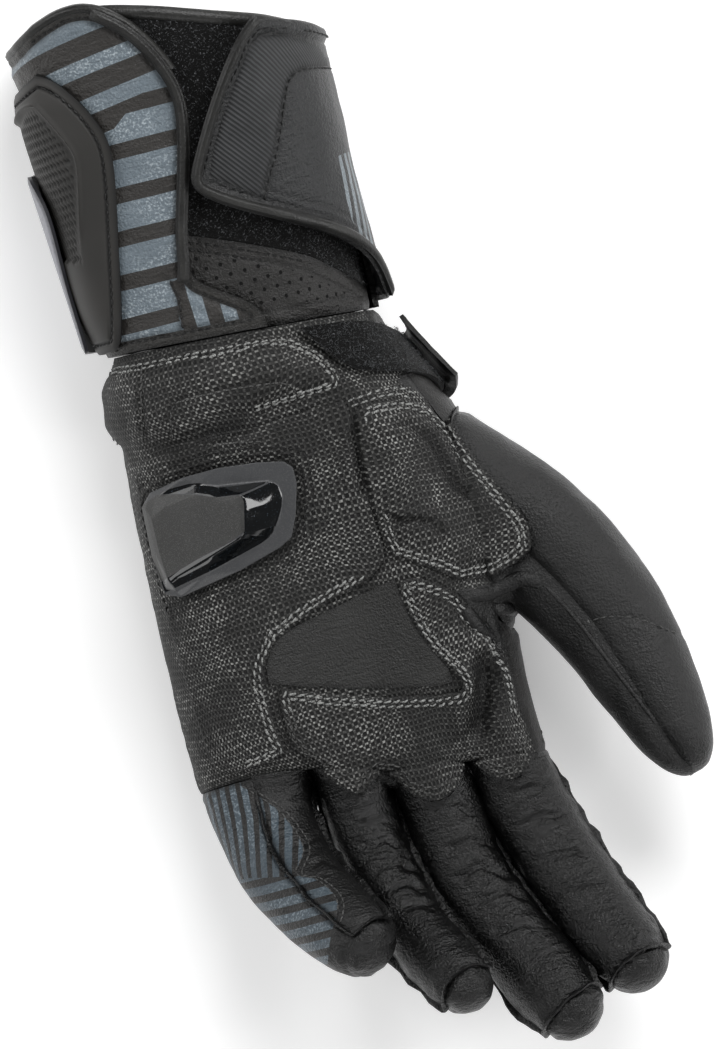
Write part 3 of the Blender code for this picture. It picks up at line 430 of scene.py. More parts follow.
def makeSmoothLeather(name, colour, wearAndGlint, rough=0.42, wrinkle=1.0, grain=0.8, holes=0.0, depth=0.00012):
    # Full-grain leather: near black, with a satin shine that its grain and wrinkles break up.
    # holes is the pitch in millimetres of punched air holes, crisp, with a black fill that is painted shade inside
    # them.
    material, tree, shader = startMaterial(name, Roughness=rough, Specular_IOR_Level=0.42)
    place = addNode(tree, "TexCoord").node.outputs["Object"]
    patches = addNode(tree, "TexNoise", inputs={"Vector": place, "Scale": 60.0, "Detail": 5.0})
    wear = addNode(tree, "MapRange", patches, 0.42, 0.72, 0.0, 0.6, interpolation_type="SMOOTHSTEP")
    base = addNode(tree, "Mix", wear, fromHex(colour), fromHex(wearAndGlint), data_type="RGBA")
    shine = addNode(tree, "MapRange", patches, 0.3, 0.7, rough - 0.1, rough + 0.1)
    tree.links.new(shine, shader.inputs["Roughness"])
    height = leatherHeight(tree, place, grain, wrinkle, math.radians(-12))
    if holes:
        flat = addNode(tree, "UVMap", uv_map="pattern")
        parts = addNode(tree, "SeparateXYZ", flat).node
        rowPlace = addNode(tree, "Math", parts.outputs[1], holes * 0.8, operation="DIVIDE")
        rowNumber = addNode(tree, "Math", rowPlace, operation="FLOOR")
        odd = addNode(tree, "Math", rowNumber, 2.0, operation="FLOORED_MODULO")
        columnPlace = addNode(tree, "Math", parts.outputs[0], holes, operation="DIVIDE")
        columnPlace = addNode(tree, "Math", odd, 0.5, columnPlace, operation="MULTIPLY_ADD")
        offsets = []
        for value, pitch in ((columnPlace, holes), (rowPlace, holes * 0.8)):
            part = addNode(tree, "Math", value, operation="FRACT")
            part = addNode(tree, "Math", part, 0.5, operation="SUBTRACT")
            offsets.append(addNode(tree, "Math", part, pitch, operation="MULTIPLY"))
        spot = addNode(tree, "CombineXYZ", *offsets)
        distance = addNode(tree, "VectorMath", spot, operation="LENGTH").node.outputs["Value"]
        hole = addNode(tree, "MapRange", distance, 0.5, 0.68, 1.0, 0.0, interpolation_type="SMOOTHSTEP")
        edge = addNode(tree, "Attribute", attribute_name="edge").node.outputs["Fac"]
        clear = addNode(tree, "Math", edge, 5.5, operation="GREATER_THAN")
        hole = addNode(tree, "Math", hole, clear, operation="MULTIPLY")
        # Painted shade: each hole filled with black
        base = addNode(tree, "Mix", hole, base, fromHex("000000"), data_type="RGBA")
        shine = addNode(tree, "Mix", hole, shine, 1.0, data_type="FLOAT")
        tree.links.new(shine, shader.inputs["Roughness"])
        height = addNode(tree, "Math", hole, -9.0, height, operation="MULTIPLY_ADD")
    finishMaterial(tree, shader, base, height, depth)
    return material


def makeGripLeather(name):
    # Printed grip leather: rows of small black squares with raised dashes between them, the dashes made pale in flecks
    # as a painted glint.
    # The squares are 2.1 mm apart one way and 1.9 mm the other.
    material, tree, shader = startMaterial(name, Roughness=0.62, Specular_IOR_Level=0.35)
    place = addNode(tree, "TexCoord").node.outputs["Object"]
    flat = addNode(tree, "UVMap", uv_map="pattern")
    warp = addNode(tree, "TexNoise", inputs={"Vector": place, "Scale": 34.0, "Detail": 2.0}).node.outputs["Color"]
    moved = addNode(tree, "VectorMath", warp, (-0.5, -0.5, -0.5), operation="ADD")
    warped = addNode(tree, "VectorMath", moved, (9.0, 9.0, 0.0), flat, operation="MULTIPLY_ADD")
    parts = addNode(tree, "SeparateXYZ", warped).node
    waves = []
    for socket, pitch in ((parts.outputs[0], 2.1), (parts.outputs[1], 1.9)):
        turned = addNode(tree, "Math", socket, math.tau / pitch, operation="MULTIPLY")
        wave = addNode(tree, "Math", turned, operation="COSINE")
        waves.append(addNode(tree, "MapRange", wave, -1.0, 1.0, 0.0, 1.0, interpolation_type="SMOOTHSTEP"))
    across, along = waves
    both = addNode(tree, "Math", across, along, operation="MULTIPLY")
    pit = addNode(tree, "MapRange", both, 0.22, 0.62, 0.0, 1.0, interpolation_type="SMOOTHSTEP")
    rowStart = addNode(tree, "MapRange", along, 0.28, 0.04, 0.0, 1.0, interpolation_type="SMOOTHSTEP")
    rowPart = addNode(tree, "MapRange", across, 0.1, 0.62, 0.0, 1.0, interpolation_type="SMOOTHSTEP")
    rowDash = addNode(tree, "Math", rowStart, rowPart, operation="MULTIPLY")
    columnStart = addNode(tree, "MapRange", across, 0.22, 0.03, 0.0, 1.0, interpolation_type="SMOOTHSTEP")
    columnPart = addNode(tree, "MapRange", along, 0.3, 0.8, 0.0, 0.8, interpolation_type="SMOOTHSTEP")
    columnDash = addNode(tree, "Math", columnStart, columnPart, operation="MULTIPLY")
    dashes = addNode(tree, "Math", rowDash, columnDash, operation="MAXIMUM")
    # Painted glint: fine noise in wide patches turns the dashes pale
    spark = addNode(tree, "TexNoise", inputs={"Vector": place, "Scale": 800.0, "Detail": 2.0})
    wide = addNode(tree, "TexNoise", inputs={"Vector": place, "Scale": 70.0, "Detail": 3.0})
    glint = addNode(tree, "MapRange", spark, 0.42, 0.64, 0.12, 1.0, interpolation_type="SMOOTHSTEP")
    region = addNode(tree, "MapRange", wide, 0.36, 0.64, 0.15, 1.0, interpolation_type="SMOOTHSTEP")
    lit = addNode(tree, "Math", glint, region, operation="MULTIPLY")
    paintedGlint = addNode(tree, "Math", dashes, lit, operation="MULTIPLY")
    ground = addNode(tree, "Mix", pit, fromHex("232322"), fromHex("050505"), data_type="RGBA")
    colour = addNode(tree, "Mix", paintedGlint, ground, fromHex("a0a09d"), data_type="RGBA")
    grain = leatherHeight(tree, place, 0.7, 0.2, 0.0)
    relief = addNode(tree, "Math", dashes, pit, operation="SUBTRACT")
    height = addNode(tree, "Math", grain, 0.3, relief, operation="MULTIPLY_ADD")
    finishMaterial(tree, shader, colour, height, 0.0002)
    return material


def makeStripedLeather(name, layouts, bareZone="", tint=("5b666c", "87929a"), dark="2f2d2b", bare="101010",
                       bareLimit=0.0):
    # Two-tone leather: slate grey bands on charcoal, the grey with a painted crackled glint in tint's second colour.
    # Each layout is a zone attribute, the share of across and along that it is drawn on, its pitch and its grey share.
    material, tree, shader = startMaterial(name, Roughness=0.42, Specular_IOR_Level=0.42)
    place = addNode(tree, "TexCoord").node.outputs["Object"]
    flat = addNode(tree, "SeparateXYZ", addNode(tree, "UVMap", uv_map="pattern")).node
    warp = addNode(tree, "TexNoise", inputs={"Vector": place, "Scale": 22.0})
    pick = None
    for zone, acrossShare, alongShare, pitch, greyShare, phase in layouts:
        part = addNode(tree, "Math", flat.outputs[0], acrossShare / pitch, phase, operation="MULTIPLY_ADD")
        part = addNode(tree, "Math", flat.outputs[1], alongShare / pitch, part, operation="MULTIPLY_ADD")
        part = addNode(tree, "Math", warp, 1.6 / pitch, part, operation="MULTIPLY_ADD")
        row = addNode(tree, "Math", part, operation="FRACT")
        here = addNode(tree, "Math", row, greyShare, operation="LESS_THAN")
        if pick is None:
            pick = here
            continue
        side = addNode(tree, "Attribute", attribute_name=zone).node.outputs["Fac"]
        inside = addNode(tree, "Math", side, 0.0, operation="GREATER_THAN")
        pick = addNode(tree, "Mix", inside, pick, here, data_type="FLOAT")
    # Painted glint: fine specks, in wide patches, turn the grey towards tint's second, paler colour
    speck = addNode(tree, "TexNoise", inputs={"Vector": place, "Scale": 1300.0, "Detail": 3.0})
    wide = addNode(tree, "TexNoise", inputs={"Vector": place, "Scale": 45.0, "Detail": 3.0})
    crackle = addNode(tree, "MapRange", speck, 0.46, 0.7, 0.0, 1.0, interpolation_type="SMOOTHSTEP")
    wearAndGlint = addNode(tree, "MapRange", wide, 0.38, 0.62, 0.1, 1.0, interpolation_type="SMOOTHSTEP")
    share = addNode(tree, "Math", crackle, wearAndGlint, operation="MULTIPLY")
    grey = addNode(tree, "Mix", share, fromHex(tint[0]), fromHex(tint[1]), data_type="RGBA")
    colour = addNode(tree, "Mix", pick, fromHex(dark), grey, data_type="RGBA")
    if bareZone:
        side = addNode(tree, "Attribute", attribute_name=bareZone).node.outputs["Fac"]
        inside = addNode(tree, "Math", side, bareLimit, operation="GREATER_THAN")
        colour = addNode(tree, "Mix", inside, fromHex(bare), colour, data_type="RGBA")
    height = leatherHeight(tree, place, 0.9, 0.9, math.radians(-16))
    finishMaterial(tree, shader, colour, height, 0.00028)
    return material


def makeLoopPile(name, colour="070707", tips="77797c"):
    # The fuzzy half of a hook and loop closure: matt black pile with pale, tangled specks
    material, tree, shader = startMaterial(name, Roughness=0.95, Specular_IOR_Level=0.2)
    shader.inputs["Sheen Weight"].default_value = 0.08
    place = addNode(tree, "TexCoord").node.outputs["Object"]
    speck = addNode(tree, "TexNoise", inputs={"Vector": place, "Scale": 1600.0, "Detail": 3.0, "Roughness": 0.7})
    clump = addNode(tree, "TexNoise", inputs={"Vector": place, "Scale": 380.0, "Detail": 3.0})
    bright = addNode(tree, "MapRange", speck, 0.54, 0.72, 0.0, 1.0, interpolation_type="SMOOTHSTEP")
    part = addNode(tree, "MapRange", clump, 0.38, 0.62, 0.2, 1.0, interpolation_type="SMOOTHSTEP")
    share = addNode(tree, "Math", bright, part, operation="MULTIPLY")
    base = addNode(tree, "Mix", share, fromHex(colour), fromHex(tips), data_type="RGBA")
    height = addNode(tree, "Math", speck, clump, operation="ADD")
    finishMaterial(tree, shader, base, height, 0.0006)
    return material


def makeRubber(name, colour, wearAndGlint):
    # Moulded rubber: an even matt charcoal with a very fine texture
    material, tree, shader = startMaterial(name, Roughness=0.55, Specular_IOR_Level=0.45)
    place = addNode(tree, "TexCoord").node.outputs["Object"]
    fine = addNode(tree, "TexNoise", inputs={"Vector": place, "Scale": 2600.0, "Detail": 2.0})
    wide = addNode(tree, "TexNoise", inputs={"Vector": place, "Scale": 40.0, "Detail": 3.0})
    wear = addNode(tree, "MapRange", wide, 0.38, 0.7, 0.0, 0.4, interpolation_type="SMOOTHSTEP")
    base = addNode(tree, "Mix", wear, fromHex(colour), fromHex(wearAndGlint), data_type="RGBA")
    finishMaterial(tree, shader, base, fine, 0.00004, shade=0.92)
    return material


def makeSliderPlastic(name):
    # Moulded graphite plastic with a fine bright speckle; its chamfers, where the piece's gloss value
    # is positive, are polished to a blue-black
    material, tree, shader = startMaterial(name, Roughness=0.42)
    place = addNode(tree, "TexCoord").node.outputs["Object"]
    grit = addNode(tree, "TexVoronoi", inputs={"Vector": place, "Scale": 3000.0})
    fleck = addNode(tree, "MapRange", grit, 0.05, 0.34, 1.0, 0.0, interpolation_type="SMOOTHSTEP")
    fade = addNode(tree, "TexNoise", inputs={"Vector": place, "Scale": 90.0, "Detail": 2.0})
    body = addNode(tree, "Mix", fade, fromHex("252524"), fromHex("333332"), data_type="RGBA")
    boss = addNode(tree, "Attribute", attribute_name="boss").node.outputs["Fac"]
    isRim = addNode(tree, "Math", boss, 0.0, operation="LESS_THAN")
    body = addNode(tree, "Mix", isRim, body, fromHex("3c3d3f"), data_type="RGBA")
    body = addNode(tree, "Mix", fleck, body, fromHex("6a6a69"), data_type="RGBA")
    scuff = addNode(tree, "TexNoise", inputs={"Vector": place, "Scale": 1500.0, "Detail": 5.0})
    mark = addNode(tree, "MapRange", scuff, 0.6, 0.78, 0.0, 1.0, interpolation_type="SMOOTHSTEP")
    polished = addNode(tree, "Mix", mark, fromHex("06080a"), fromHex("39434c"), data_type="RGBA")
    gloss = addNode(tree, "Attribute", attribute_name="gloss").node.outputs["Fac"]
    isGloss = addNode(tree, "Math", gloss, 0.0, operation="GREATER_THAN")
    colour = addNode(tree, "Mix", isGloss, body, polished, data_type="RGBA")
    smoothSide = addNode(tree, "MapRange", scuff, 0.45, 0.75, 0.07, 0.16)
    rough = addNode(tree, "Mix", isGloss, 0.42, smoothSide, data_type="FLOAT")
    tree.links.new(rough, shader.inputs["Roughness"])
    quiet = addNode(tree, "Math", 1.0, isGloss, operation="SUBTRACT")
    height = addNode(tree, "Math", grit, quiet, operation="MULTIPLY")
    finishMaterial(tree, shader, colour, height, 0.00003)
    return material


def makeGlossPlastic(name, colour, marks, rough):
    # Hard plastic with a low polish and faint scuffs in its shine
    material, tree, shader = startMaterial(name, Roughness=rough)
    place = addNode(tree, "TexCoord").node.outputs["Object"]
    scuff = addNode(tree, "TexNoise", inputs={"Vector": place, "Scale": 700.0, "Detail": 4.0})
    mark = addNode(tree, "MapRange", scuff, 0.5, 0.75, 0.0, 0.6, interpolation_type="SMOOTHSTEP")
    base = addNode(tree, "Mix", mark, fromHex(colour), fromHex(marks), data_type="RGBA")
    shine = addNode(tree, "MapRange", scuff, 0.3, 0.7, rough, rough + 0.15)
    tree.links.new(shine, shader.inputs["Roughness"])
    finishMaterial(tree, shader, base, scuff, 0.00002)
    return material


def makeThread(name, colour, shadow):
    # Twisted sewing thread: a soft sheen with fine plies across it
    material, tree, shader = startMaterial(name, Roughness=0.55, Specular_IOR_Level=0.4)
    place = addNode(tree, "TexCoord").node.outputs["Object"]
    ply = addNode(tree, "TexNoise", inputs={"Vector": place, "Scale": 2200.0, "Detail": 1.0})
    share = addNode(tree, "MapRange", ply, 0.4, 0.68, 0.0, 1.0, interpolation_type="SMOOTHSTEP")
    base = addNode(tree, "Mix", share, fromHex(colour), fromHex(shadow), data_type="RGBA")
    finishMaterial(tree, shader, base, ply, 0.00008)
    return material


def makeRibbed(name, colour, tops):
    # Moulded insert with fine slanting ribs 1.15 mm apart, their tops made paler in patches as a painted highlight
    material, tree, shader = startMaterial(name, Roughness=0.55, Specular_IOR_Level=0.4)
    place = addNode(tree, "TexCoord").node.outputs["Object"]
    flat = addNode(tree, "SeparateXYZ", addNode(tree, "UVMap", uv_map="pattern")).node
    slanted = addNode(tree, "Math", flat.outputs[0], 0.82, operation="MULTIPLY")
    slanted = addNode(tree, "Math", flat.outputs[1], 0.57, slanted, operation="MULTIPLY_ADD")
    turned = addNode(tree, "Math", slanted, math.tau / 1.15, operation="MULTIPLY")
    wave = addNode(tree, "Math", turned, operation="SINE")
    rib = addNode(tree, "MapRange", wave, -0.7, 0.8, 0.0, 1.0, interpolation_type="SMOOTHSTEP")
    fade = addNode(tree, "TexNoise", inputs={"Vector": place, "Scale": 120.0, "Detail": 3.0})
    # Painted highlight: the rib tops paler, in patches
    share = addNode(tree, "Math", rib, fade, operation="MULTIPLY")
    base = addNode(tree, "Mix", share, fromHex(colour), fromHex(tops), data_type="RGBA")
    finishMaterial(tree, shader, base, rib, 0.0002)
    return material


fingerLeather = makeSmoothLeather("black_finger_leather", "050505", "101010", rough=0.3, depth=0.00032)
thumbLeather = makeSmoothLeather("black_thumb_leather", "121212", "212121", rough=0.42, wrinkle=0.5, depth=0.0003)
backLeather = makeSmoothLeather("brown_black_back_leather", "131211", "1e1c1b", rough=0.5, wrinkle=0.3, depth=0.0003)
insetLeather = makeSmoothLeather(
    "fine_grain_inset_leather", "242423", "333332", rough=0.5, wrinkle=0.5, grain=0.7, depth=0.0004
)
bindingLeather = makeSmoothLeather("folded_binding_leather", "1f1f1e", "353533", rough=0.4, wrinkle=0.1)
perforatedLeather = makeSmoothLeather(
    "perforated_leather", "1c1b1a", "2a2928", rough=0.42, wrinkle=0.5, holes=4.7, depth=0.0003
)
gripLeather = makeGripLeather("printed_grip_leather")
cuffStripes = makeStripedLeather(
    "striped_cuff_leather",
    [("", 0.03, 1.0, 13.4, 0.635, 0.1), ("breakSide", -0.13, 1.0, 12.0, 0.43, 0.35),
     ("armSide", 1.0, 0.0, 9.6, 0.47, 0.2)],
    tint=("67727a", "a3adb3"), bareZone="edge", bareLimit=3.8, bare="2b2a28",
)
fingerStripes = makeStripedLeather(
    "striped_finger_leather",
    [("", 1.0, -0.04, 6.4, 0.56, 0.1), ("lowZone", 0.0, 1.0, 5.2, 0.55, 0.2)],
    bareZone="stripedZone", tint=("404b53", "76828a"), dark="1c1b1a",
)
flapStripes = makeStripedLeather(
    "flap_leather", [("", 1.0, -0.04, 5.4, 0.5, 0.2)],
    bareZone="flapStripes", tint=("737b80", "8f989e"), dark="242526", bare="222324",
)
loopPile = makeLoopPile("loop_pile")
guardRubber = makeRubber("moulded_guard_rubber", "292826", "383634")
sliderPlastic = makeSliderPlastic("speckled_graphite_plastic")
greyGloss = makeGlossPlastic("blue_grey_hard_plastic", "80818a", "666770", 0.28)
greyThread = makeThread("grey_thread", "9c9d9b", "404040")
dullThread = makeThread("dull_grey_thread", "565655", "1c1c1c")
blackThread = makeThread("black_thread", "1a1a1a", "060606")
lining = makeRubber("plain_black_lining", "121212", "181818")
ribbedInsert = makeRibbed("ribbed_insert_rubber", "202122", "4a4b4d")
print("materials made")


def finishPiece(piece, material, replaced=(), angle=50):
    piece.data.materials.clear()
    piece.data.materials.append(material)
    makeActive(piece)
    bpy.ops.object.shade_smooth_by_angle(angle=math.radians(angle))
    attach(piece, "root")
    if replaced:
        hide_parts(*replaced)
    return piece


# Folds of the palm, creases of the fingers: points, depth and width in millimetres
palmFolds = [
    (seen((148, 452), (184, 441), (219, 433), (245, 427), (275, 418)), 1.6, 1.6),
    (seen((363, 408), (358, 423), (357, 450), (363, 483), (366, 513)), 1.4, 1.6),
    (seen((451, 587), (457, 604), (468, 621), (485, 636)), 1.2, 1.5),
    (seen((485, 613), (486, 629), (495, 644), (503, 634)), 1.5, 1.1),
    (seen((480, 645), (484, 665), (485, 686), (482, 708), (478, 728), (474, 750)), 2.8, 2.6),
    (seen((461, 596), (490, 584), (520, 579), (535, 594)), -1.6, 2.6),
]
fingerFolds = [
    (seen((348, 826), (375, 820), (402, 830)), 0.63, 0.8), (seen((352, 848), (380, 841), (408, 850)), 0.9, 0.8),
    (seen((358, 862), (385, 854), (418, 864)), 1.2, 0.8), (seen((364, 876), (395, 865), (424, 876)), 1.3, 0.92),
    (seen((380, 894), (405, 882), (432, 890)), 1.3, 0.92), (seen((394, 912), (420, 901), (444, 908)), 0.9, 0.92),
    (seen((420, 818), (450, 808), (484, 820)), 0.81, 0.8), (seen((436, 852), (470, 842), (501, 855)), 1.1, 0.92),
    (seen((450, 882), (480, 869), (512, 882)), 1.3, 0.92), (seen((466, 908), (500, 894), (531, 906)), 1.3, 0.92),
    (seen((486, 936), (515, 925), (544, 932)), 0.9, 0.92),
    (seen((500, 800), (528, 786), (556, 781)), 1.1, 0.92), (seen((514, 832), (542, 816), (572, 813)), 1.1, 0.92),
    (seen((528, 870), (562, 855), (598, 854)), 1.2, 0.92), (seen((542, 908), (575, 887), (610, 878)), 0.99, 0.92),
    (seen((285, 800), (300, 797), (318, 802)), 0.63, 0.69), (seen((298, 845), (315, 838), (335, 845)), 0.72, 0.8),
    (seen((305, 868), (322, 860), (345, 868)), 0.72, 0.8),
]
fingerAlong = imageRight * 0.47 - imageUp * 0.88


def crossWrinkles(coords, normals, edge):
    # Fine folds that run across a finger, deepest over its joints
    along = coords @ np.array(fingerAlong)
    across = coords @ np.array(fingerAlong.cross(Vector((0, 0, 1))))
    turned = np.stack([across, along, coords[:, 2]], 1)
    fine = noiseAt(turned, (10.0, 1.9, 10.0), 2.0)
    broad = noiseAt(turned, (16.0, 4.2, 14.0), 6.0)
    joint = smooth(0.5 + 1.6 * noiseAt(turned, (40.0, 24.0, 40.0), 4.0))
    up = np.clip(normals[:, 2] * 1.5 + 0.3, 0, 1)
    return (0.15 * fine + 0.2 * broad) * (0.3 + 0.7 * joint) * up, np.zeros(len(coords))


def makeSkin(nodeName, title, material, slotName, levels=3, folds=(), wall=1.3, extra=None, lumps=0.35,
             tuck=0.7, pucker=0.25, waver=0.0, zones=None):
    # A panel's own outer face, made smooth, with its folds, and given its wall again
    piece = refinedSheet(nodeName, title, levels)
    coords, normals = readCoords(piece.data), readNormals(piece.data)
    edge = edgeDistance(piece.data, coords)
    height = lumps * noiseAt(coords, 16.0) + 0.4 * lumps * noiseAt(coords, 6.0, 5.0)
    height += foldRelief(coords, normals, folds, waver)
    height -= tuck * hump(edge, 1.1)
    height += pucker * hump(edge - 3.0, 2.4) * noiseAt(coords, 4.5, 9.0) * 2
    # Painted shade along the panel's border and in and beside its deeper folds, and more from the extra relief
    paintedShade = np.maximum(hump(edge, 1.3), foldShade(coords, folds))
    if extra is not None:
        more, darker = extra(coords, normals, edge)
        height = height + more
        paintedShade = np.maximum(paintedShade, darker)
    setAttribute(piece.data, "paintedShade", paintedShade)
    setAttribute(piece.data, "edge", edge)
    for zoneName, zone in (zones or {}).items():
        setAttribute(piece.data, zoneName, zone(coords))
    return wallPiece(piece, coords + normals * height[:, None], wall, material, nodeName)


def wallPiece(piece, coords, wall, material, nodeName):
    # Gives the sheet its wall, with plain lining on the inner side
    outerFaces = len(piece.data.polygons)
    writeCoords(piece.data, coords)
    addPatternMap(piece)
    places, normals = readCoords(piece.data), readNormals(piece.data)
    part = {"piece": piece, "tree": treeOf(piece), "places": places, "normals": normals}
    part["border"] = [(places[loop], normals[loop]) for loop in boundaryLoops(piece.data)]
    applyModifier(piece, "SOLIDIFY", thickness=wall * mm, offset=-1.0, use_quality_normals=True)
    finishPiece(piece, material, [nodeName])
    piece.data.materials.append(lining)
    inner = np.zeros(len(piece.data.polygons), np.int32)
    inner[outerFaces:outerFaces * 2] = 1
    piece.data.polygons.foreach_set("material_index", inner)
    print(piece.name, len(piece.data.polygons), "faces")
    return part


def sideBulge(direction):
    # Wrinkles, and one side puffed out towards the next finger
    def relief(coords, normals, edge):
        height, dark = crossWrinkles(coords, normals, edge)
        side = np.clip(normals @ np.array(fingerAlong.cross(Vector((0, 0, 1)))) * direction, 0, 1)
        along = coords @ np.array(fingerAlong)
        share = (along - along.min()) / (along.max() - along.min())
        return height + bulgeSize * side * smooth(share / 0.2) * smooth((1 - share) / 0.25), dark

    return relief


bulgeSize = 2.5


# The wavy seam of the little finger: stripes on its left, plain leather on its right
littleSeam = seen(
    (236, 770), (240, 785), (251, 792), (280, 812), (303, 846), (296, 872), (317, 878), (337, 899),
    (331, 931), (328, 959), (330, 985),
)
littleZones = {
    "stripedZone": lambda coords: -leftOf(coords, curved(littleSeam, 3)),
    "lowZone": lambda coords: -leftOf(coords, seen((200, 900), (245, 878), (300, 874), (340, 860))),
}
littleValues = {"extra": crossWrinkles, "folds": fingerFolds, "waver": 1.6, "lumps": 0.45, "zones": littleZones}
fingerValues = {"extra": crossWrinkles, "folds": fingerFolds, "waver": 1.8, "lumps": 0.5, "pucker": 0.4}
capValues = {"extra": crossWrinkles, "waver": 1.8, "lumps": 0.6, "pucker": 0.5, "tuck": 0.6}
def thumbRelief(coords, normals, edge):
    # Puffed panels with a valley at the seam, and the stitched cross seam
    cross = nearLine(coords, curved(thumbCross))[0]
    height = 0.9 * smooth(edge / 5.0) - 0.5 - 0.35 * hump(cross, 0.7)
    height += 0.9 * hump(nearLine(coords, curved(thumbBulge))[0], 3.0) * smooth(normals[:, 2] + 0.2)
    # Second value: painted shade along the panel's border and in the cross seam
    return height, np.maximum(0.7 * hump(edge, 1.6), 0.6 * hump(cross, 0.6))


thumbCross = seen((583, 622), (610, 616), (640, 619), (683, 636))
thumbBulge = seen((540, 470), (570, 498), (600, 530), (622, 566))
thumbValues = {"folds": palmFolds, "lumps": 0.5, "waver": 1.0, "pucker": 0.2, "extra": thumbRelief}

skins = {}
skins["palm"] = makeSkin("palm_leather", "palm_skin", gripLeather, "grip", folds=palmFolds, waver=1.0)
skins["back"] = makeSkin("hand_back", "hand_back_skin", backLeather, "leather", levels=2)
for finger in ("little", "ring", "middle", "index"):
    frontLeather = fingerStripes if finger == "little" else fingerLeather
    frontValues = littleValues if finger == "little" else dict(fingerValues)
    backValues = dict(capValues)
    if finger in ("middle", "index"):
        frontValues["extra"] = backValues["extra"] = sideBulge(-1 if finger == "middle" else 1)
    skins[finger + "Front"] = makeSkin(
        finger + "_front", finger + "_finger_front", frontLeather, "leather", **frontValues
    )
    skins[finger + "Back"] = makeSkin(
        finger + "_back", finger + "_finger_back", fingerLeather, "leather", **backValues
    )
skins["littleSide"] = makeSkin(
    "little_side", "little_finger_side", fingerStripes, "striped", **littleValues
)
skins["thumbInner"] = makeSkin("thumb_inner", "thumb_inner_skin", thumbLeather, "leather", **thumbValues)
skins["thumbOuter"] = makeSkin("thumb_outer", "thumb_outer_skin", thumbLeather, "leather", **thumbValues)

# Smooth leather instead of grip leather where the palm runs out towards the thumb
smoothZone = seen(
    (395, 380), (440, 405), (500, 455), (560, 540), (545, 555), (475, 590), (440, 590), (500, 655),
    (520, 640), (560, 620), (640, 560), (560, 380), (430, 340),
)
palmPiece = skins["palm"]["piece"]
palmPiece.data.materials.append(thumbLeather)
palmCentres = np.array([tuple(polygon.center) for polygon in palmPiece.data.polygons]) / mm
palmIndexes = np.zeros(len(palmPiece.data.polygons), np.int32)
palmPiece.data.polygons.foreach_get("material_index", palmIndexes)
palmIndexes[(palmIndexes == 0) & insideOutline(palmCentres, smoothZone)] = 2
palmPiece.data.polygons.foreach_set("material_index", palmIndexes)
print("hand skins made")


# Patches sewn onto the palm
def laidOn(coords, normals, tree, lift, wraps=False):
    # Moves each point to its lift over the surface under it, or where it wraps, over the nearest one
    made = coords.copy()
    for number, (place, normal) in enumerate(zip(coords, normals)):
        start = Vector(place + normal * 9.0) * mm
        hit, _, _, _ = tree.ray_cast(start, -Vector(normal), 26 * mm)
        if hit is None and wraps:
            hit = tree.find_nearest(Vector(place) * mm)[0]
        if hit is not None:
            made[number] = np.array(hit) / mm + normal * lift[number]
    return made


def makePatch(nodeName, title, material, slotName, tree, levels=3, lift=1.5, crown=0.0, wall=1.2,
              rows=(2.0, 4.0), quilts=(), gutters=(), rim=(0.6, 0.7), wraps=False):
    piece = refinedSheet(nodeName, title, levels, facingUp=True)
    coords, normals = readCoords(piece.data), readNormals(piece.data)
    edge = edgeDistance(piece.data, coords)
    height = lift - rim[0] * hump(edge, rim[1]) + crown * smooth(edge / 11.0)
    for row in rows:
        height -= 0.28 * hump(edge - row, 0.55)
    height += 0.25 * noiseAt(coords, 9.0, 3.0) + 0.14 * noiseAt(coords, 4.0, 8.0)
    height += foldRelief(coords, normals, quilts, 0.8)
    # Painted shade along the patch's border and in and beside its quilted folds
    paintedShade = np.maximum(0.5 * hump(edge, 0.8), foldShade(coords, quilts))
    for line, depth, width in gutters:
        distance = nearLine(coords, line)[0]
        height -= depth * hump(distance, width)
        # Painted shade in the gutter
        paintedShade = np.maximum(paintedShade, 0.9 * hump(distance, width))
    setAttribute(piece.data, "paintedShade", paintedShade)
    made = laidOn(coords, normals, tree, height, wraps)
    return wallPiece(piece, made, wall, material, nodeName)


def makeLaid(nodeName, title, material, slotName, outline, tree, lift=0.6, wall=0.6, rim=0.3, step=1.2):
    # A sheet with this outline, cut into a fine grid and laid on the surface under it
    bm = bmesh.new()
    bm.faces.new([bm.verts.new((x * mm, y * mm, 0.2)) for x, y in outline])
    for axis in (0, 1):
        values = [place[axis] for place in outline]
        for cut in np.arange(min(values) + step, max(values), step):
            place, normal = Vector((0, 0, 0)), Vector((0, 0, 0))
            place[axis], normal[axis] = cut * mm, 1.0
            everything = bm.verts[:] + bm.edges[:] + bm.faces[:]
            bmesh.ops.bisect_plane(bm, geom=everything, dist=1e-7, plane_co=place, plane_no=normal)
    height = {}
    for vert in bm.verts:
        hit, _, _, _ = tree.ray_cast(vert.co, Vector((0, 0, -1)))
        if hit is not None:
            height[vert] = hit.z
    for vert in bm.verts:
        vert.co.z = height.get(vert, min(height.values()))
    bmesh.ops.recalc_face_normals(bm, faces=bm.faces[:])
    if sum(face.normal.z for face in bm.faces) < 0:
        bmesh.ops.reverse_faces(bm, faces=bm.faces[:])
    mesh = bpy.data.meshes.new(title)
    bm.to_mesh(mesh)
    bm.free()
    piece = newPiece(title, mesh)
    coords, normals = readCoords(mesh), readNormals(mesh)
    edge = edgeDistance(mesh, coords)
    # Painted shade along the sheet's border
    setAttribute(mesh, "paintedShade", 0.7 * hump(edge, 0.8))
    setAttribute(mesh, "edge", edge)
    made = coords + normals * (lift - rim * hump(edge, 0.7) + 0.1 * noiseAt(coords, 8.0, 3.0))[:, None]
    return wallPiece(piece, made, wall, material, nodeName)


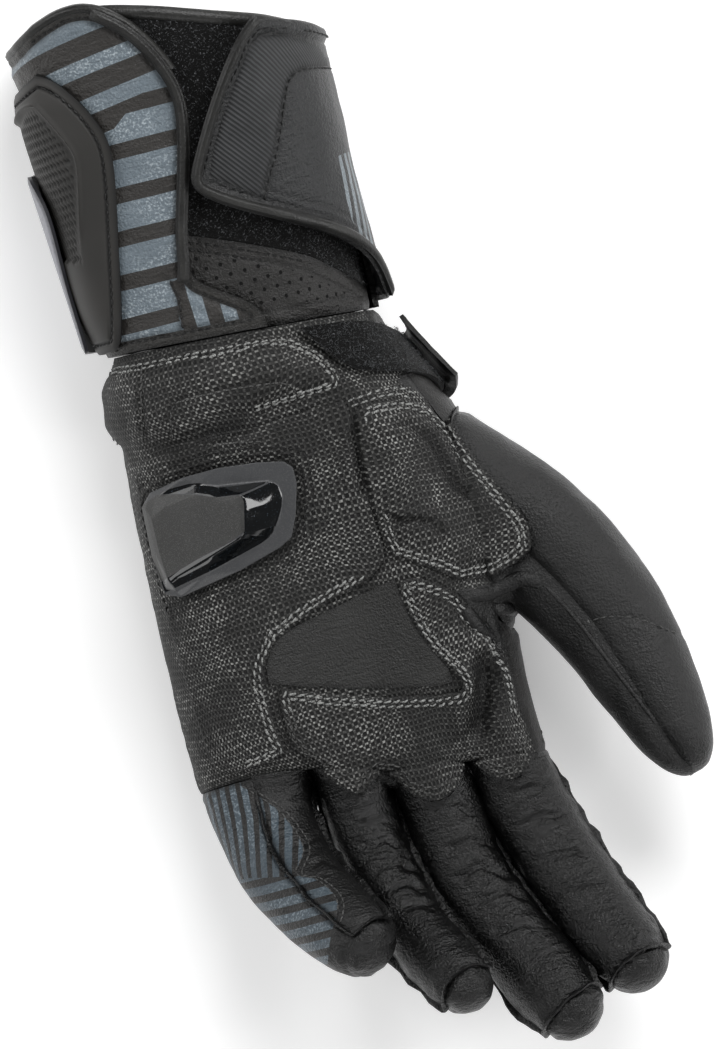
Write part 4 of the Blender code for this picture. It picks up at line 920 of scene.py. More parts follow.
sliderEdge = seen(
    (149.5, 507), (152, 497), (160, 489), (180, 479), (207, 471), (240, 464), (277, 460.5), (287, 461.5),
    (292.5, 466), (296, 480), (297, 505), (295, 535), (291, 543), (280, 550), (245, 569), (205, 588),
    (166, 607), (160, 605), (155.5, 596), (151, 560),
)
thenarQuilts = [
    (seen((370, 430), (390, 424), (410, 424), (430, 438), (445, 462), (458, 485), (480, 500), (489, 518),
          (486, 537), (468, 553)), 1.5, 1.2),
    (seen((372, 521), (400, 521), (428, 522), (440, 530), (446, 546)), 1.6, 1.2),
]
heelQuilts = [
    (seen((143, 366), (142, 400), (145, 447)), 0.7, 0.8),
    (seen((173, 450), (174, 404), (216, 391), (248, 385), (286, 382), (304, 402)), 0.8, 0.8),
]
hypothenarValues = {"lift": 1.5, "quilts": palmFolds[:2], "gutters": [(sliderEdge + sliderEdge[:1], 0.7, 0.9)]}
thenarValues = {"lift": 1.5, "crown": 2.0, "quilts": thenarQuilts}
gripValues = {"lift": 1.4, "quilts": palmFolds[4:5]}
insetEdge = seen(
    (394, 578), (366, 591), (330, 609), (296, 625), (275, 636), (268, 650), (266, 668), (268, 683), (300, 686),
    (345, 688), (400, 687), (440, 685), (452, 681), (447, 665), (435, 649), (417, 627), (404, 604),
)
insetValues = {"lift": 0.65, "wall": 0.5, "rim": 0.2}
heelValues = {"lift": 1.9, "crown": 2.6, "quilts": heelQuilts, "rim": (1.8, 3.2), "wraps": True}

palmTree = skins["palm"]["tree"]
patches = {}
patches["hypothenar"] = makePatch(
    "hypothenar_panel", "hypothenar_patch", gripLeather, "grip", palmTree, **hypothenarValues
)
patches["thenar"] = makePatch("thenar_pad", "thenar_patch", gripLeather, "grip", palmTree, **thenarValues)
patches["grip"] = makePatch("grip_panel", "grip_patch", gripLeather, "grip", palmTree, **gripValues)
patches["inset"] = makeLaid("palm_inset", "inset_patch", insetLeather, "leather", insetEdge, palmTree, **insetValues)
patches["heel"] = makePatch("heel_patch", "heel_cushion", gripLeather, "grip", palmTree, **heelValues)
print("palm patches made")


# The hard plate on the palm, with polished chamfers down from its boss
upperChamfer = seen(
    (158.5, 494), (170.5, 488.2), (188.9, 483.4), (199.2, 482.7), (207.3, 484.8), (217.6, 487.1),
    (234.8, 485.4), (253.2, 482.7), (269.3, 481.1), (253.2, 488.2), (239.4, 494), (230.2, 495.1),
    (217.6, 496.8), (209.6, 496.3), (200.4, 494), (188.9, 493.4), (170.5, 493.7),
)
lowerChamfer = seen(
    (271.5, 481.5), (278.4, 485.9), (281.9, 494), (281.3, 506.6), (277.3, 520.4), (272.7, 531.8),
    (268.1, 537.6), (260.1, 543.3), (216.4, 567.4), (157.9, 595.6), (156.7, 588.1), (159.6, 582.4),
    (175.1, 572), (200.4, 557.1), (227.9, 543.3), (241.7, 535.3), (244.6, 530.7), (244, 500.8),
    (241, 495.8), (256, 489),
)
bossTop = seen(
    (140, 506), (158, 494), (189, 494), (218, 497), (241, 495), (244, 501), (244.5, 531), (228, 543), (200, 557),
    (175, 572), (157, 588), (145, 560),
)
sliderCrease = seen((197, 496), (195, 520), (194.5, 545))
sliderValues = {"bevel": 0.7, "levels": 4, "round": 0.42, "roundWidth": 6.0}


def makeSlider():
    bm = bmesh.new()
    bm.from_mesh(frame["nodes"]["palm_slider"].data)
    bmesh.ops.remove_doubles(bm, verts=bm.verts[:], dist=0.02 * mm)
    mesh = bpy.data.meshes.new("palm_slider_plate")
    bm.to_mesh(mesh)
    bm.free()
    piece = newPiece("palm_slider_plate", mesh)
    applyModifier(
        piece, "BEVEL", width=sliderValues["bevel"] * mm, segments=3, limit_method="ANGLE",
        angle_limit=math.radians(14),
    )
    applyModifier(
        piece, "SUBSURF", subdivision_type="SIMPLE", levels=sliderValues["levels"] - 1,
        render_levels=sliderValues["levels"] - 1,
    )
    coords, normals = readCoords(piece.data), readNormals(piece.data)
    lower = zoneOf(coords, lowerChamfer)
    gloss = np.maximum(zoneOf(coords, upperChamfer), lower)
    setAttribute(piece.data, "gloss", np.where(normals[:, 2] > 0.2, gloss, -1.0))
    setAttribute(piece.data, "boss", zoneOf(coords, bossTop))
    rise = 0.1 * hump(nearLine(coords, curved(sliderCrease))[0], 0.35)
    rounded = np.clip(lower / sliderValues["roundWidth"], 0, 1)
    rise += sliderValues["round"] * (1 - (1 - rounded) ** 2)
    writeCoords(piece.data, coords + normals * (rise * (normals[:, 2] > 0.3))[:, None])
    return finishPiece(piece, sliderPlastic, ["palm_slider"], angle=35)


slider = makeSlider()
print("palm slider made")


# The cuff
def bindRelief(coords, normals, edge):
    # A folded binding along the whole edge, and two sewn lines inside it
    roll = 1.1 * smooth(edge / 1.0) * smooth((4.4 - edge) / 1.0)
    sewn = 0.4 * hump(edge - 5.2, 0.7) + 0.3 * hump(edge - 8.0, 0.8)
    seam = nearLine(coords, flapSeam)[0]
    height = roll - sewn - 0.5 * hump(seam, 0.8)
    # Painted shade in the sewn lines and along the flap's seam
    dark = np.maximum(0.75 * hump(edge - 5.0, 0.8), 0.7 * hump(seam, 0.9))
    return height, np.maximum(dark, 0.4 * hump(edge - 8.0, 0.8))


flapSeam = curved(seen((262, 205), (268, 178), (276, 150), (282, 110), (287, 82), (300, 70), (332, 66)))
guardRidge = seen((14, 125), (20, 112), (33, 107), (43, 115), (70, 147), (78, 167), (80, 200), (81, 254))


def guardRelief(coords, normals, edge):
    # A flat rim and a sewn groove, a smooth slope, then a ridge with a pitted field behind it
    line = [(place.x, place.y) for place in (Vector((*p, 0)) for p in curved(guardRidge))]
    distance, along, _ = nearLine(coords, line)
    px, py = inPicture(coords)
    inside = leftOf(coords, line) < 0
    inside &= (py > 105) & (py < 262)
    pit = smooth(distance / 1.2) * inside
    height = -1.0 * pit + 0.7 * hump(distance, 0.6) * smooth((1 - along) / 0.2)
    down = coords[:, 0] - 0.9 * (60 - coords[:, 2]) * (coords[:, 0] < -66)
    u, v = down / 2.3, coords[:, 1] / 2.7
    across = (u + 0.5 * (np.floor(v + 0.5) % 2)) - np.round(u + 0.5 * (np.floor(v + 0.5) % 2))
    rise = v - np.round(v)
    dimple = hump(np.hypot(across * 2.3 + rise * 0.8, rise * 1.6), 0.55) * smooth((distance - 1.5) / 1.0)
    dimple = dimple * inside
    height -= 0.7 * dimple + 0.8 * hump(edge - 3.3, 0.5)
    # Painted shade in the pits and the sewn groove; the ridge's negative value keeps painted shade off the ridge
    ridge = -0.5 * hump(distance, 0.5) * smooth((1 - along) / 0.2)
    return height, ridge + np.maximum(1.2 * dimple, 0.95 * hump(edge - 3.3, 0.6))


shellSeam = curved(seen((168, 280), (177, 300), (181, 334)))
armZone = seen((169, 283), (177, 300), (181, 334), (186, 390), (340, 390), (340, 272), (200, 272))
shellZones = {
    "breakSide": lambda coords: leftOf(coords, seen((60, 215), (110, 137), (153, 82), (190, 30))),
    "armSide": lambda coords: zoneOf(coords, armZone),
}


def shellRelief(coords, normals, edge):
    # Inside the rolled binding: a sewn valley, a thin ridge, and the seam of the lower arm
    height = 0.35 * hump(edge - 6.2, 1.0) - 0.5 * hump(edge - 3.6, 0.9)
    seam = nearLine(coords, shellSeam)[0]
    height -= 0.5 * hump(seam, 0.8)
    # Painted shade in the sewn valley and along the seam of the lower arm
    return height, np.maximum(0.8 * hump(edge - 3.4, 1.0), 0.8 * hump(seam, 0.8))


def wristRelief(coords, normals, edge):
    # A sewn groove inside the edge, with painted shade along it
    return -0.3 * hump(edge - 4.6, 0.6), 0.5 * hump(edge - 4.6, 0.7)


def rollRelief(coords, normals, edge):
    return 0.9 * smooth(edge / 1.5), np.zeros(len(edge))


flapZone = seen((338, 156), (343, 190), (351, 215), (362, 245), (430, 245), (400, 130))
shellValues = {"wall": 1.8, "tuck": 0.1, "lumps": 0.7, "extra": shellRelief, "zones": shellZones}
loopValues = {"wall": 1.6, "tuck": 0.0, "pucker": 0.0, "lumps": 0.5}
wristValues = {"levels": 4, "wall": 1.0, "tuck": 0.1, "lumps": 0.8, "extra": wristRelief}
flapValues = {
    "wall": 2.0, "tuck": 0.0, "pucker": 0.0, "lumps": 0.5, "extra": bindRelief,
    "zones": {"flapStripes": lambda coords: np.minimum(zoneOf(coords, flapZone), coords[:, 2] - 34)},
}
insertEdge = seen(
    (210, 178), (214, 150), (226, 112), (240, 74), (250, 48), (258, 40), (280, 38), (305, 42), (320, 50),
    (326, 60), (327, 66), (301, 69), (291, 76), (286, 86), (280, 112), (274, 150), (266, 178), (260, 197),
)
insertValues = {"lift": 0.45, "wall": 0.5, "rim": 0.4}
guardValues = {"levels": 4, "wall": 1.4, "tuck": 0.4, "pucker": 0.0, "lumps": 0.0, "extra": guardRelief}
plateValues = {"wall": 1.2, "tuck": 0.5, "pucker": 0.0, "lumps": 0.0}
strapValues = {"wall": 1.4, "tuck": 0.2, "pucker": 0.1, "lumps": 0.4}
strapEndValues = {"wall": 1.4, "tuck": 0.5, "lumps": 0.3}
rollValues = {"wall": 1.2, "tuck": 0.0, "pucker": 0.05, "lumps": 0.12, "extra": rollRelief}

cuff = {}
cuff["shell"] = makeSkin("cuff_shell", "cuff_shell_skin", cuffStripes, "striped", **shellValues)
cuff["loop"] = makeSkin("cuff_loop_panel", "loop_pile_panel", loopPile, "loop", **loopValues)
cuff["wrist"] = makeSkin("wrist_panel", "wrist_panel_skin", perforatedLeather, "leather", **wristValues)
cuff["tab"] = makeSkin("closure_tab", "closure_tab_skin", flapStripes, "leather", **flapValues)
cuff["insert"] = makeLaid(
    "closure_tab_grip", "closure_tab_insert", ribbedInsert, "rubber", insertEdge, cuff["tab"]["tree"], **insertValues
)
cuff["guard"] = makeSkin("cuff_guard", "cuff_guard_skin", guardRubber, "rubber", **guardValues)
cuff["plate"] = makeSkin("cuff_guard_plate", "cuff_guard_plate_skin", greyGloss, "grey_plastic", **plateValues)
cuff["strap"] = makeSkin("wrist_strap", "wrist_strap_pile", loopPile, "loop", **strapValues)
cuff["strapEnd"] = makeSkin("strap_end_tab", "strap_end_tab_skin", bindingLeather, "leather", **strapEndValues)
for nodeName in ("cuff_binding", "tab_binding"):
    makeSkin(nodeName, nodeName + "_roll", bindingLeather, "leather", **rollValues)
print("cuff made")


# Sewing
def resampled(points, pitch):
    # Places a pitch apart along a line, each with its direction
    points = np.asarray(points)
    steps = np.linalg.norm(points[1:] - points[:-1], axis=1)
    passed = np.concatenate([[0.0], np.cumsum(steps)])
    count = int(passed[-1] / pitch)
    made = []
    for number in range(count if count > 1 else 0):
        station = (number + 0.5) * passed[-1] / count
        ends = []
        for offset in (-0.4, 0.0, 0.4):
            where = min(max(station + offset * pitch, 0.0), passed[-1])
            ends.append(np.array([np.interp(where, passed, points[:, axis]) for axis in range(3)]))
        made.append((ends[1], ends[2] - ends[0]))
    return made


def stitchShape(length, radius, sides=5):
    # A short thread that rises out of the leather and goes back in
    points, faces = [], []
    stations = ((-0.5, 0.4), (-0.36, 0.9), (0.0, 1.05), (0.36, 0.9), (0.5, 0.4))
    for station, width in stations:
        lift = radius * (0.75 - 6.0 * station ** 2)
        for side in range(sides):
            angle = math.tau * side / sides
            points.append((station * length, math.cos(angle) * radius * width,
                           math.sin(angle) * radius * width + lift))
    for ring in range(len(stations) - 1):
        for side in range(sides):
            a, b = ring * sides + side, ring * sides + (side + 1) % sides
            faces.append((a, b, b + sides, a + sides))
    faces.append(tuple(range(sides))[::-1])
    faces.append(tuple((len(stations) - 1) * sides + side for side in range(sides)))
    return np.array(points), faces


class Sewing:
    # Gathers the stitches of one thread into one mesh
    def __init__(self, title, material, length, radius, gap=1.14):
        self.title, self.material = title, material
        self.shape, self.faces = stitchShape(length, radius)
        self.pitch = length * gap
        self.points, self.made = [], []

    def addRow(self, line, tree, skew=0.0, reach=3.0, missing=0.0):
        for place, aim in resampled(line, self.pitch):
            hit, normal, _, _ = tree.find_nearest(Vector(place) * mm, reach * mm)
            if hit is None or rand.random() < missing:
                continue
            normal = np.array(normal)
            aim = aim - normal * (aim @ normal)
            aim = aim / max(np.linalg.norm(aim), 1e-9)
            turned = aim + np.cross(normal, aim) * (skew + rand.uniform(-0.12, 0.12))
            turned /= np.linalg.norm(turned)
            axes = np.stack([turned, np.cross(normal, turned), normal])
            start = len(self.shape) * len(self.points)
            size = np.array([rand.uniform(0.85, 1.1), rand.uniform(0.8, 1.15), 1.0])
            self.points.append((self.shape * size) @ axes + np.array(hit) / mm)
            self.made += [tuple(start + v for v in face) for face in self.faces]

    def finish(self):
        piece = newPiece(self.title, meshFrom(self.title, np.concatenate(self.points), self.made))
        finishPiece(piece, self.material)
        print(self.title, len(self.points), "stitches")
        return piece


def insetLine(border, tree, distance):
    # The border moved inwards over its sheet
    coords, normals = border
    ring = np.concatenate([coords[-1:], coords, coords[:1]])
    aims = ring[2:] - ring[:-2]
    aims /= np.maximum(np.linalg.norm(aims, axis=1), 1e-9)[:, None]
    inward = np.cross(normals, aims)
    inward /= np.maximum(np.linalg.norm(inward, axis=1), 1e-9)[:, None]
    away = []
    for sign in (1, -1):
        moved = coords + inward * sign * distance
        away.append(sum(tree.find_nearest(Vector(p) * mm)[3] for p in moved[::7]))
    moved = coords + inward * (1 if away[0] < away[1] else -1) * distance
    nearest = KDTree(len(coords))
    for number, place in enumerate(coords):
        nearest.insert(place, number)
    nearest.balance()
    kept = np.array([p for p in moved if nearest.find(p)[2] > distance * 0.9])
    for _ in range(3):
        kept = (np.roll(kept, 1, 0) + kept * 2 + np.roll(kept, -1, 0)) / 4
    return np.concatenate([kept, kept[:1]])


def splitRuns(line, choose):
    # The stretches of a line whose places in the picture are chosen
    runs, run = [], []
    for place in line:
        px, py = inPicture(place)
        if choose is None or choose(px, py, place[2]):
            run.append(place)
        elif run:
            runs.append(run)
            run = []
    if run:
        runs.append(run)
    return [np.array(run) for run in runs if len(run) > 3]


def borderRows(sewing, part, distances, choose=None, skew=0.0, missing=0.0):
    for distance in distances:
        for run in splitRuns(insetLine(part["border"][0], part["tree"], distance), choose):
            sewing.addRow(run, part["tree"], skew, missing=missing)


def dropped(points, parts):
    # Places in the picture, dropped onto the highest of the parts under them, with that part
    made = []
    for place in curved(seen(*points)):
        best, over = None, None
        for part in parts:
            start = Vector((place[0], place[1], 200.0)) * mm
            hit, _, _, _ = part["tree"].ray_cast(start, Vector((0, 0, -1)))
            if hit is not None and (best is None or hit.z > best.z):
                best, over = hit, part
        if over is not None:
            made.append((np.array(best) / mm, over))
    return made


def drawnRow(sewing, parts, points, skew=0.0):
    # A row along a line drawn in the picture, over all the parts that it crosses
    runs = []
    for place, part in dropped(points, parts):
        if not runs or runs[-1][1] is not part:
            runs.append(([], part))
        runs[-1][0].append(place)
    for line, part in runs:
        if len(line) > 2:
            sewing.addRow(np.array(line), part["tree"], skew)


brightSewing = Sewing("palm_stitches", greyThread, 2.4, 0.36)
borderRows(brightSewing, patches["heel"], (1.8, 3.8), lambda px, py, z: py < 392 and px > 112, 0.2)
borderRows(brightSewing, patches["heel"], (1.8, 3.4), lambda px, py, z: py > 380 and px > 252, 0.2)
borderRows(brightSewing, patches["hypothenar"], (1.8, 3.6), lambda px, py, z: px > 243 and py > 575, 0.25)
borderRows(brightSewing, patches["grip"], (1.7, 3.5), lambda px, py, z: py < 715 and px > 276, 0.25)
borderRows(brightSewing, patches["thenar"], (1.7, 3.5), lambda px, py, z: px > 384 or (py < 425 and px > 364), 0.2)
crossed = [patches["hypothenar"], patches["heel"], patches["thenar"], skins["palm"]]
drawnRow(brightSewing, crossed, [(346, 401), (362, 396), (380, 390), (400, 388), (414, 394)], 0.2)
drawnRow(brightSewing, crossed, [(347, 407), (363, 402), (381, 396), (399, 394), (410, 399)], 0.2)
brightSewing.finish()

dullSewing = Sewing("dull_stitches", dullThread, 2.2, 0.25)
borderRows(dullSewing, patches["grip"], (1.8, 3.6), lambda px, py, z: py >= 715, 0.25, 0.05)
borderRows(dullSewing, patches["heel"], (1.8, 3.6), lambda px, py, z: px <= 112, 0.2)
drawnRow(dullSewing, [patches["heel"]], [(142, 368), (141, 400), (143, 447)])
drawnRow(dullSewing, [patches["heel"]], [(173, 446), (174, 406), (216, 393), (248, 387), (286, 384), (302, 403)])
drawnRow(dullSewing, [patches["hypothenar"]], [(150, 452), (190, 446), (230, 443), (262, 441)])
drawnRow(dullSewing, [skins["thumbInner"]], [(583, 622), (610, 616), (640, 619), (683, 636)])
drawnRow(dullSewing, [skins["thumbOuter"]], [(583, 622), (610, 616), (640, 619), (683, 636)])
drawnRow(dullSewing, [skins["palm"]], [(487, 616), (488, 630), (496, 645)])
drawnRow(dullSewing, [skins["palm"]], [(491, 609), (505, 607), (520, 610), (546, 627)])
for shift in (0, 6):
    drawnRow(dullSewing, [skins["littleFront"]], [(x + shift, y) for x, y in [
        (251, 792), (280, 812), (303, 846), (296, 872), (317, 878), (337, 899), (331, 931), (328, 955)]])
    drawnRow(dullSewing, [skins["littleSide"]], [(x + shift, y) for x, y in [
        (240, 785), (251, 792), (280, 812), (303, 846), (296, 872), (317, 878)]])
drawnRow(dullSewing, [skins["palm"], skins["back"]], [(531, 655), (534, 690), (539, 720), (544, 745)])
dullSewing.finish()

blackSewing = Sewing("black_stitches", blackThread, 2.3, 0.3)
borderRows(blackSewing, cuff["tab"], (5.2, 8.0), lambda px, py, z: z > 20)
borderRows(blackSewing, cuff["guard"], (3.3,), lambda px, py, z: z > 14)
borderRows(blackSewing, cuff["wrist"], (2.2, 4.6), lambda px, py, z: py < 262)
borderRows(blackSewing, cuff["shell"], (2.9,), lambda px, py, z: z > 8 and px > 30)
drawnRow(blackSewing, [cuff["tab"]], [(264, 203), (270, 178), (278, 150), (284, 110), (289, 84), (302, 72), (330, 68)])
drawnRow(blackSewing, [cuff["shell"]], [(170, 280), (179, 300), (183, 330)])
sliderMiddle = np.mean(np.array(sliderEdge), axis=0)
for grow in (2.6, 5.2):
    ring = []
    for place in sliderEdge + sliderEdge[:2]:
        away = np.array(place) - sliderMiddle
        ring.append(tuple(np.array(place) + away / np.linalg.norm(away) * grow))
    line = []
    for place in curved(ring):
        hit, _, _, _ = patches["hypothenar"]["tree"].ray_cast(
            Vector((place[0], place[1], 200.0)) * mm, Vector((0, 0, -1))
        )
        if hit is not None:
            line.append(np.array(hit) / mm)
    blackSewing.addRow(np.array(line), patches["hypothenar"]["tree"])
blackSewing.finish()


# Strips swept along an edge: seams that stand up on the fingers, and the roll round the mouth
def sweptStrip(title, line, normals, section, wave=None, closed=False):
    line, normals = np.asarray(line), np.asarray(normals)
    count, sides = len(line), len(section)
    points, faces = [], []
    for number in range(count):
        before = line[number - 1] if number or closed else line[0]
        after = line[(number + 1) % count] if number + 1 < count or closed else line[-1]
        aim = after - before
        aim = aim / max(np.linalg.norm(aim), 1e-9)
        up = normals[number] - aim * (normals[number] @ aim)
        up = up / max(np.linalg.norm(up), 1e-9)
        across = np.cross(up, aim)
        tall, lean = wave(number, count) if wave else (1.0, 0.0)
        for a, b in section:
            points.append(line[number] + across * (a + lean * max(b, 0)) + up * b * (tall if b > 0 else 1.0))
    for number in range(count if closed else count - 1):
        after = (number + 1) % count
        for side in range(sides):
            other = (side + 1) % sides
            faces.append((number * sides + side, number * sides + other, after * sides + other, after * sides + side))
    if not closed:
        faces.append(tuple(range(sides))[::-1])
        faces.append(tuple((count - 1) * sides + side for side in range(sides)))
    mesh = meshFrom(title, points, faces)
    bm = bmesh.new()
    bm.from_mesh(mesh)
    bmesh.ops.recalc_face_normals(bm, faces=bm.faces)
    bm.to_mesh(mesh)
    bm.free()
    return newPiece(title, mesh)


def longestRun(border, choose):
    # The longest stretch of a border whose places are chosen
    coords, normals = border
    chosen = [bool(choose(*place)) for place in coords]
    if all(chosen):
        return coords, normals
    start = next(i for i in range(len(chosen)) if not chosen[i])
    order = [(start + i) % len(chosen) for i in range(len(chosen))]
    best, run = [], []
    for i in order:
        if chosen[i]:
            run.append(i)
        else:
            best, run = max(best, run, key=len), []
    best = max(best, run, key=len)
    return coords[best], normals[best]


seamSection = [(-0.45, -0.9), (0.45, -0.9), (0.48, 0.7), (0.4, 1.35), (0.12, 1.6), (-0.2, 1.5), (-0.46, 1.0)]
seamValues = {"tall": 1.25, "uneven": 0.9, "lean": 0.9}


def makeSeam(title, line, normals, seed):
    def wavy(step, count):
        here = Vector(line[step] / 5.0) + Vector((seed, 0, 0))
        fade = min(1.0, step / 6, (count - 1 - step) / 6)
        tall = 0.35 + fade * (seamValues["tall"] - 0.35 + seamValues["uneven"] * noise.noise(here))
        return tall, seamValues["lean"] * noise.noise(here * 0.7 + Vector((3, 7, 1)))

    seam = sweptStrip(title, line, normals, seamSection, wavy)
    return finishPiece(seam, fingerLeather)


# Welts where the fingers meet the palm, and the leather between their roots
fingerOrder = ("little", "ring", "middle", "index")
for finger in fingerOrder:
    for face in ("Front", "Back"):
        border = skins[finger + face]["border"][0]
        top = border[0][:, 1].max()
        line, normals = longestRun(border, lambda x, y, z: y > top - 6)
        title = f"{finger}_root_welt_{face.lower()}"
        finishPiece(sweptStrip(title, line, normals, [(1.1, -1.0), (1.1, 0.2), (0, 0.5), (-1.1, 0.2), (-1.1, -1.0)]),
                    fingerLeather)
for first, second in zip(fingerOrder, fingerOrder[1:]):
    ends = []
    for finger in (first, second):
        places = np.concatenate([skins[finger + face]["border"][0][0] for face in ("Front", "Back")])
        ends.append(places[places[:, 1] > places[:, 1].max() - 7])
    gaps = np.linalg.norm(ends[0][:, None] - ends[1][None], axis=2)
    near, far = np.unravel_index(gaps.argmin(), gaps.shape)
    start, stop = ends[0][near], ends[1][far]
    aim = (stop - start) / max(np.linalg.norm(stop - start), 1e-9)
    line = np.array([start - aim * 4 + (stop - start + aim * 8) * share for share in np.linspace(0, 1, 9)])
    line[:, 2] -= 3.0
    section = [(4.2 * math.cos(math.tau * k / 14), 4.2 * math.sin(math.tau * k / 14)) for k in range(14)]
    webPiece = sweptStrip(f"{first}_{second}_web", line, np.tile([0.0, 0.0, 1.0], (9, 1)), section)
    finishPiece(webPiece, fingerLeather)

for number, finger in enumerate(fingerOrder):
    top = skins[finger + "Front"]["border"][0][0][:, 1].max()
    line, normals = longestRun(skins[finger + "Front"]["border"][0], lambda x, y, z: y < top - 4)
    makeSeam(finger + "_finger_seam", line[::2], normals[::2], 13.7 * number)

# Rolls of leather: the folds of the web, the thumb's seam and the welt at its root
def makeRoll(title, parts, points, radius, sink, material):
    places = np.array([place for place, _ in dropped(points, parts)])
    section = [(radius * math.cos(math.tau * k / 12), radius * math.sin(math.tau * k / 12) - sink) for k in range(12)]

    def tapered(step, count):
        share = min(step, count - 1 - step) / (count * 0.3)
        return 0.25 + 0.75 * float(smooth(share)), 0.0

    up = np.tile(np.array([0.0, 0.0, 1.0]), (len(places), 1))
    ends = np.minimum(np.arange(len(places)), np.arange(len(places))[::-1]) / (len(places) * 0.3)
    places[:, 2] -= radius * (1 - smooth(ends))
    for _ in range(4):
        places[1:-1] = (places[:-2] + places[1:-1] * 2 + places[2:]) / 4
    return finishPiece(sweptStrip(title, places, up, section, tapered), material)


web = [skins["palm"], skins["thumbInner"], skins["thumbOuter"], patches["thenar"], patches["grip"]]
webRolls = [
    ([(446, 590), (466, 594), (488, 591), (506, 583), (524, 577), (540, 582), (554, 596)], 2.8, 1.2),
    ([(458, 600), (468, 614), (479, 628), (489, 640)], 2.4, 1.3),
    ([(490, 609), (504, 608), (516, 611), (524, 622), (527, 640), (527, 660)], 2.6, 1.0),
]
for number, (points, radius, sink) in enumerate(webRolls):
    makeRoll(f"web_fold_{number + 1}", web, points, radius, sink, thumbLeather)
seamPath = [(522, 562), (545, 585), (573, 615), (600, 650), (626, 684), (650, 715), (674, 748), (692, 774)]
thumbSeam = makeRoll("thumb_seam", web, seamPath, 0.8, 0.1, thumbLeather)
line, normals = longestRun(skins["thumbOuter"]["border"][0], lambda x, y, z: inPicture(np.array((x, y)))[1] < 470)
welt = sweptStrip("thumb_root_welt", line, normals, [(a * 1.1, b * 1.1) for a, b in seamSection])
finishPiece(welt, thumbLeather)

rollSection = [(1.6 * math.cos(math.tau * k / 8), 1.7 * math.sin(math.tau * k / 8) - 0.9) for k in range(8)]
line, normals = longestRun(cuff["shell"]["border"][0], lambda x, y, z: y > 150)
mouthRoll = sweptStrip("mouth_binding_roll", line, normals, rollSection)
finishPiece(mouthRoll, bindingLeather)
line, normals = longestRun(cuff["loop"]["border"][0], lambda x, y, z: y > 150)
loopRoll = sweptStrip("loop_top_binding_roll", line, normals, [(1.5 * a, 1.2 * b) for a, b in rollSection])
finishPiece(loopRoll, bindingLeather)
print("seams made")


# Fuzz: small loops of yarn that stand out of the pile
def makeFuzz(title, part, count, tall=0.8):
    points, faces = [], []
    facing = [i for i in range(len(part["places"])) if part["normals"][i][2] > -0.1]
    for number in range(count):
        pick = rand.choice(facing)
        up = Vector(part["normals"][pick])
        side = up.cross(Vector((rand.uniform(-1, 1), rand.uniform(-1, 1), rand.uniform(-1, 1)))).normalized()
        other = up.cross(side)
        foot = Vector(part["places"][pick]) + side * rand.uniform(-0.5, 0.5) + other * rand.uniform(-0.5, 0.5)
        wide, high = rand.uniform(0.3, 0.75), tall * rand.uniform(0.5, 1.2)
        lean = other * rand.uniform(-0.6, 0.6)
        start = len(points)
        stations = ((-1.0, -0.3), (-0.6, 0.75), (0.1, 1.0), (0.8, 0.5))
        for a, b in stations:
            middle = foot + side * (a * wide) + up * (b * high) + lean * max(b, 0) * high
            for angle in (0.0, 2.1, 4.2):
                points.append(middle + other * (0.07 * math.cos(angle)) + up * (0.07 * math.sin(angle)))
        for ring in range(3):
            for corner in range(3):
                a, b = start + ring * 3 + corner, start + ring * 3 + (corner + 1) % 3
                faces.append((a, b, b + 3, a + 3))
        faces.append((start + 2, start + 1, start))
        faces.append((start + 9, start + 10, start + 11))
    piece = newPiece(title, meshFrom(title, [tuple(p) for p in points], faces))
    finishPiece(piece, yarn)
    print(title, count, "loops")


yarn = makeThread("pile_yarn", "4e5052", "121212")
makeFuzz("loop_panel_fuzz", cuff["loop"], 3200)
makeFuzz("wrist_strap_fuzz", cuff["strap"], 800)
print("fuzz made")


# Stage, light and camera
def makeStage():
    bpy.ops.mesh.primitive_plane_add(size=6.0, location=(0, 0, -0.0005))
    floor = bpy.context.active_object
    floor.name = "floor"
    material, tree, shader = startMaterial("plain_floor", Roughness=0.95, Specular_IOR_Level=0.1)
    shader.inputs["Base Color"].default_value = fromHex("f6f6f6")
    shader.inputs["Emission Color"].default_value = fromHex("ffffff")
    shader.inputs["Emission Strength"].default_value = 0.3
    floor.data.materials.append(material)
    return floor


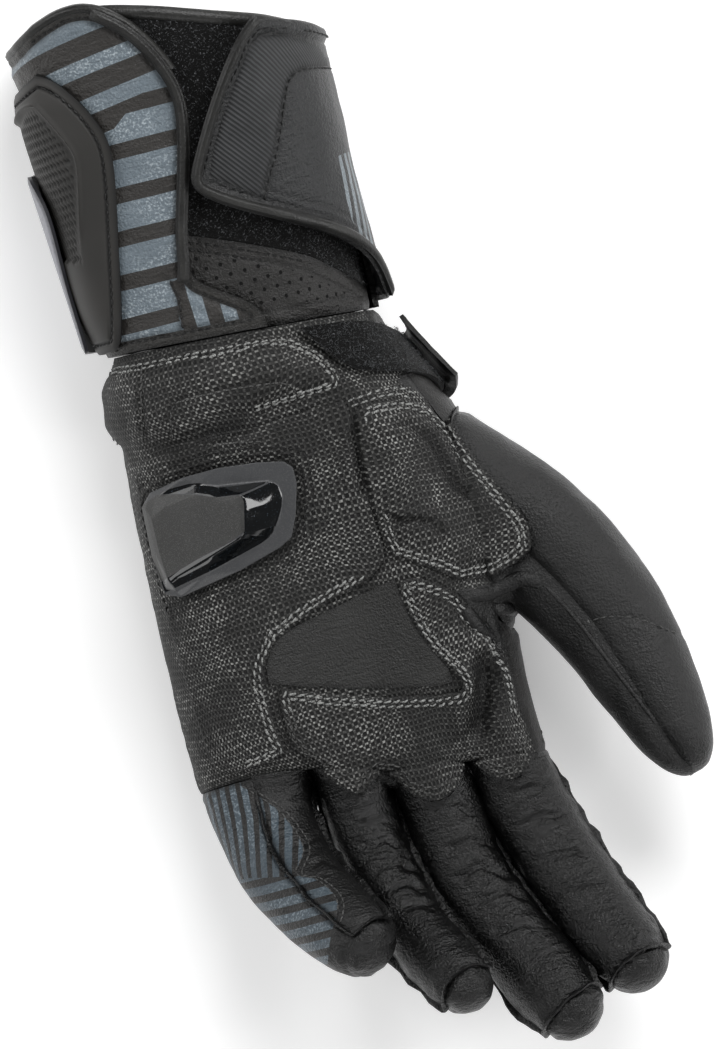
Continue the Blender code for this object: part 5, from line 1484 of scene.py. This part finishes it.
def addArea(name, place, aim, size, power):
    light = bpy.data.lights.new(name, "AREA")
    light.energy, light.shape = power, "RECTANGLE"
    light.size, light.size_y = size
    lamp = bpy.data.objects.new(name, light)
    lamp.location = place
    lamp.rotation_euler = (Vector(aim) - Vector(place)).to_track_quat("-Z", "Y").to_euler()
    bpy.context.scene.collection.objects.link(lamp)
    return lamp


def fromImage(right, up, height):
    # A place in metres from the picture's middle, and its height
    return middleOnGlove * mm + imageRight * right + imageUp * up + Vector((0, 0, height))


stageValues = {"world": 0.17, "key": 11.0, "left": 5.5, "right": 5.0, "low": 3.5, "cameraHeight": 4.5, "focus": 0.04}
makeStage()
addArea("key_light", fromImage(0.25, 0.85, 0.95), fromImage(0, 0.02, 0.03), (0.8, 0.5), stageValues["key"])
addArea("left_light", fromImage(-1.0, 0.15, 0.75), fromImage(0, 0, 0.03), (0.5, 1.0), stageValues["left"])
addArea("right_light", fromImage(1.02, 0.05, 0.66), fromImage(-0.05, 0, 0.05), (0.34, 0.5), stageValues["right"])
addArea("low_light", fromImage(0.1, -0.95, 0.8), fromImage(0, -0.05, 0.03), (0.8, 0.4), stageValues["low"])

world = bpy.data.worlds.new("studio")
bpy.context.scene.world = world
world.use_nodes = True
world.node_tree.nodes["Background"].inputs["Color"].default_value = (1.0, 1.0, 1.0, 1.0)
world.node_tree.nodes["Background"].inputs["Strength"].default_value = stageValues["world"]

camera = bpy.data.objects.new("camera", bpy.data.cameras.new("camera"))
bpy.context.scene.collection.objects.link(camera)
camera.location = fromImage(0, 0, stageValues["cameraHeight"])
camera.rotation_euler = Matrix((imageRight, imageUp, Vector((0, 0, 1)))).transposed().to_euler()
pictureTall = 1049 * pointSize * mm
camera.data.sensor_fit = "VERTICAL"
camera.data.sensor_height = 24.0
camera.data.lens = 24.0 * (stageValues["cameraHeight"] - stageValues["focus"]) / pictureTall
camera.data.clip_start, camera.data.clip_end = 0.01, 20.0
bpy.context.scene.camera = camera
bpy.context.scene.view_settings.view_transform = "Standard"
print("stage set")

total = 0
for thing in bpy.context.scene.objects:
    if thing.type == "MESH" and not thing.hide_render:
        thing.data.calc_loop_triangles()
        total += len(thing.data.loop_triangles)
print("triangles in all", total)
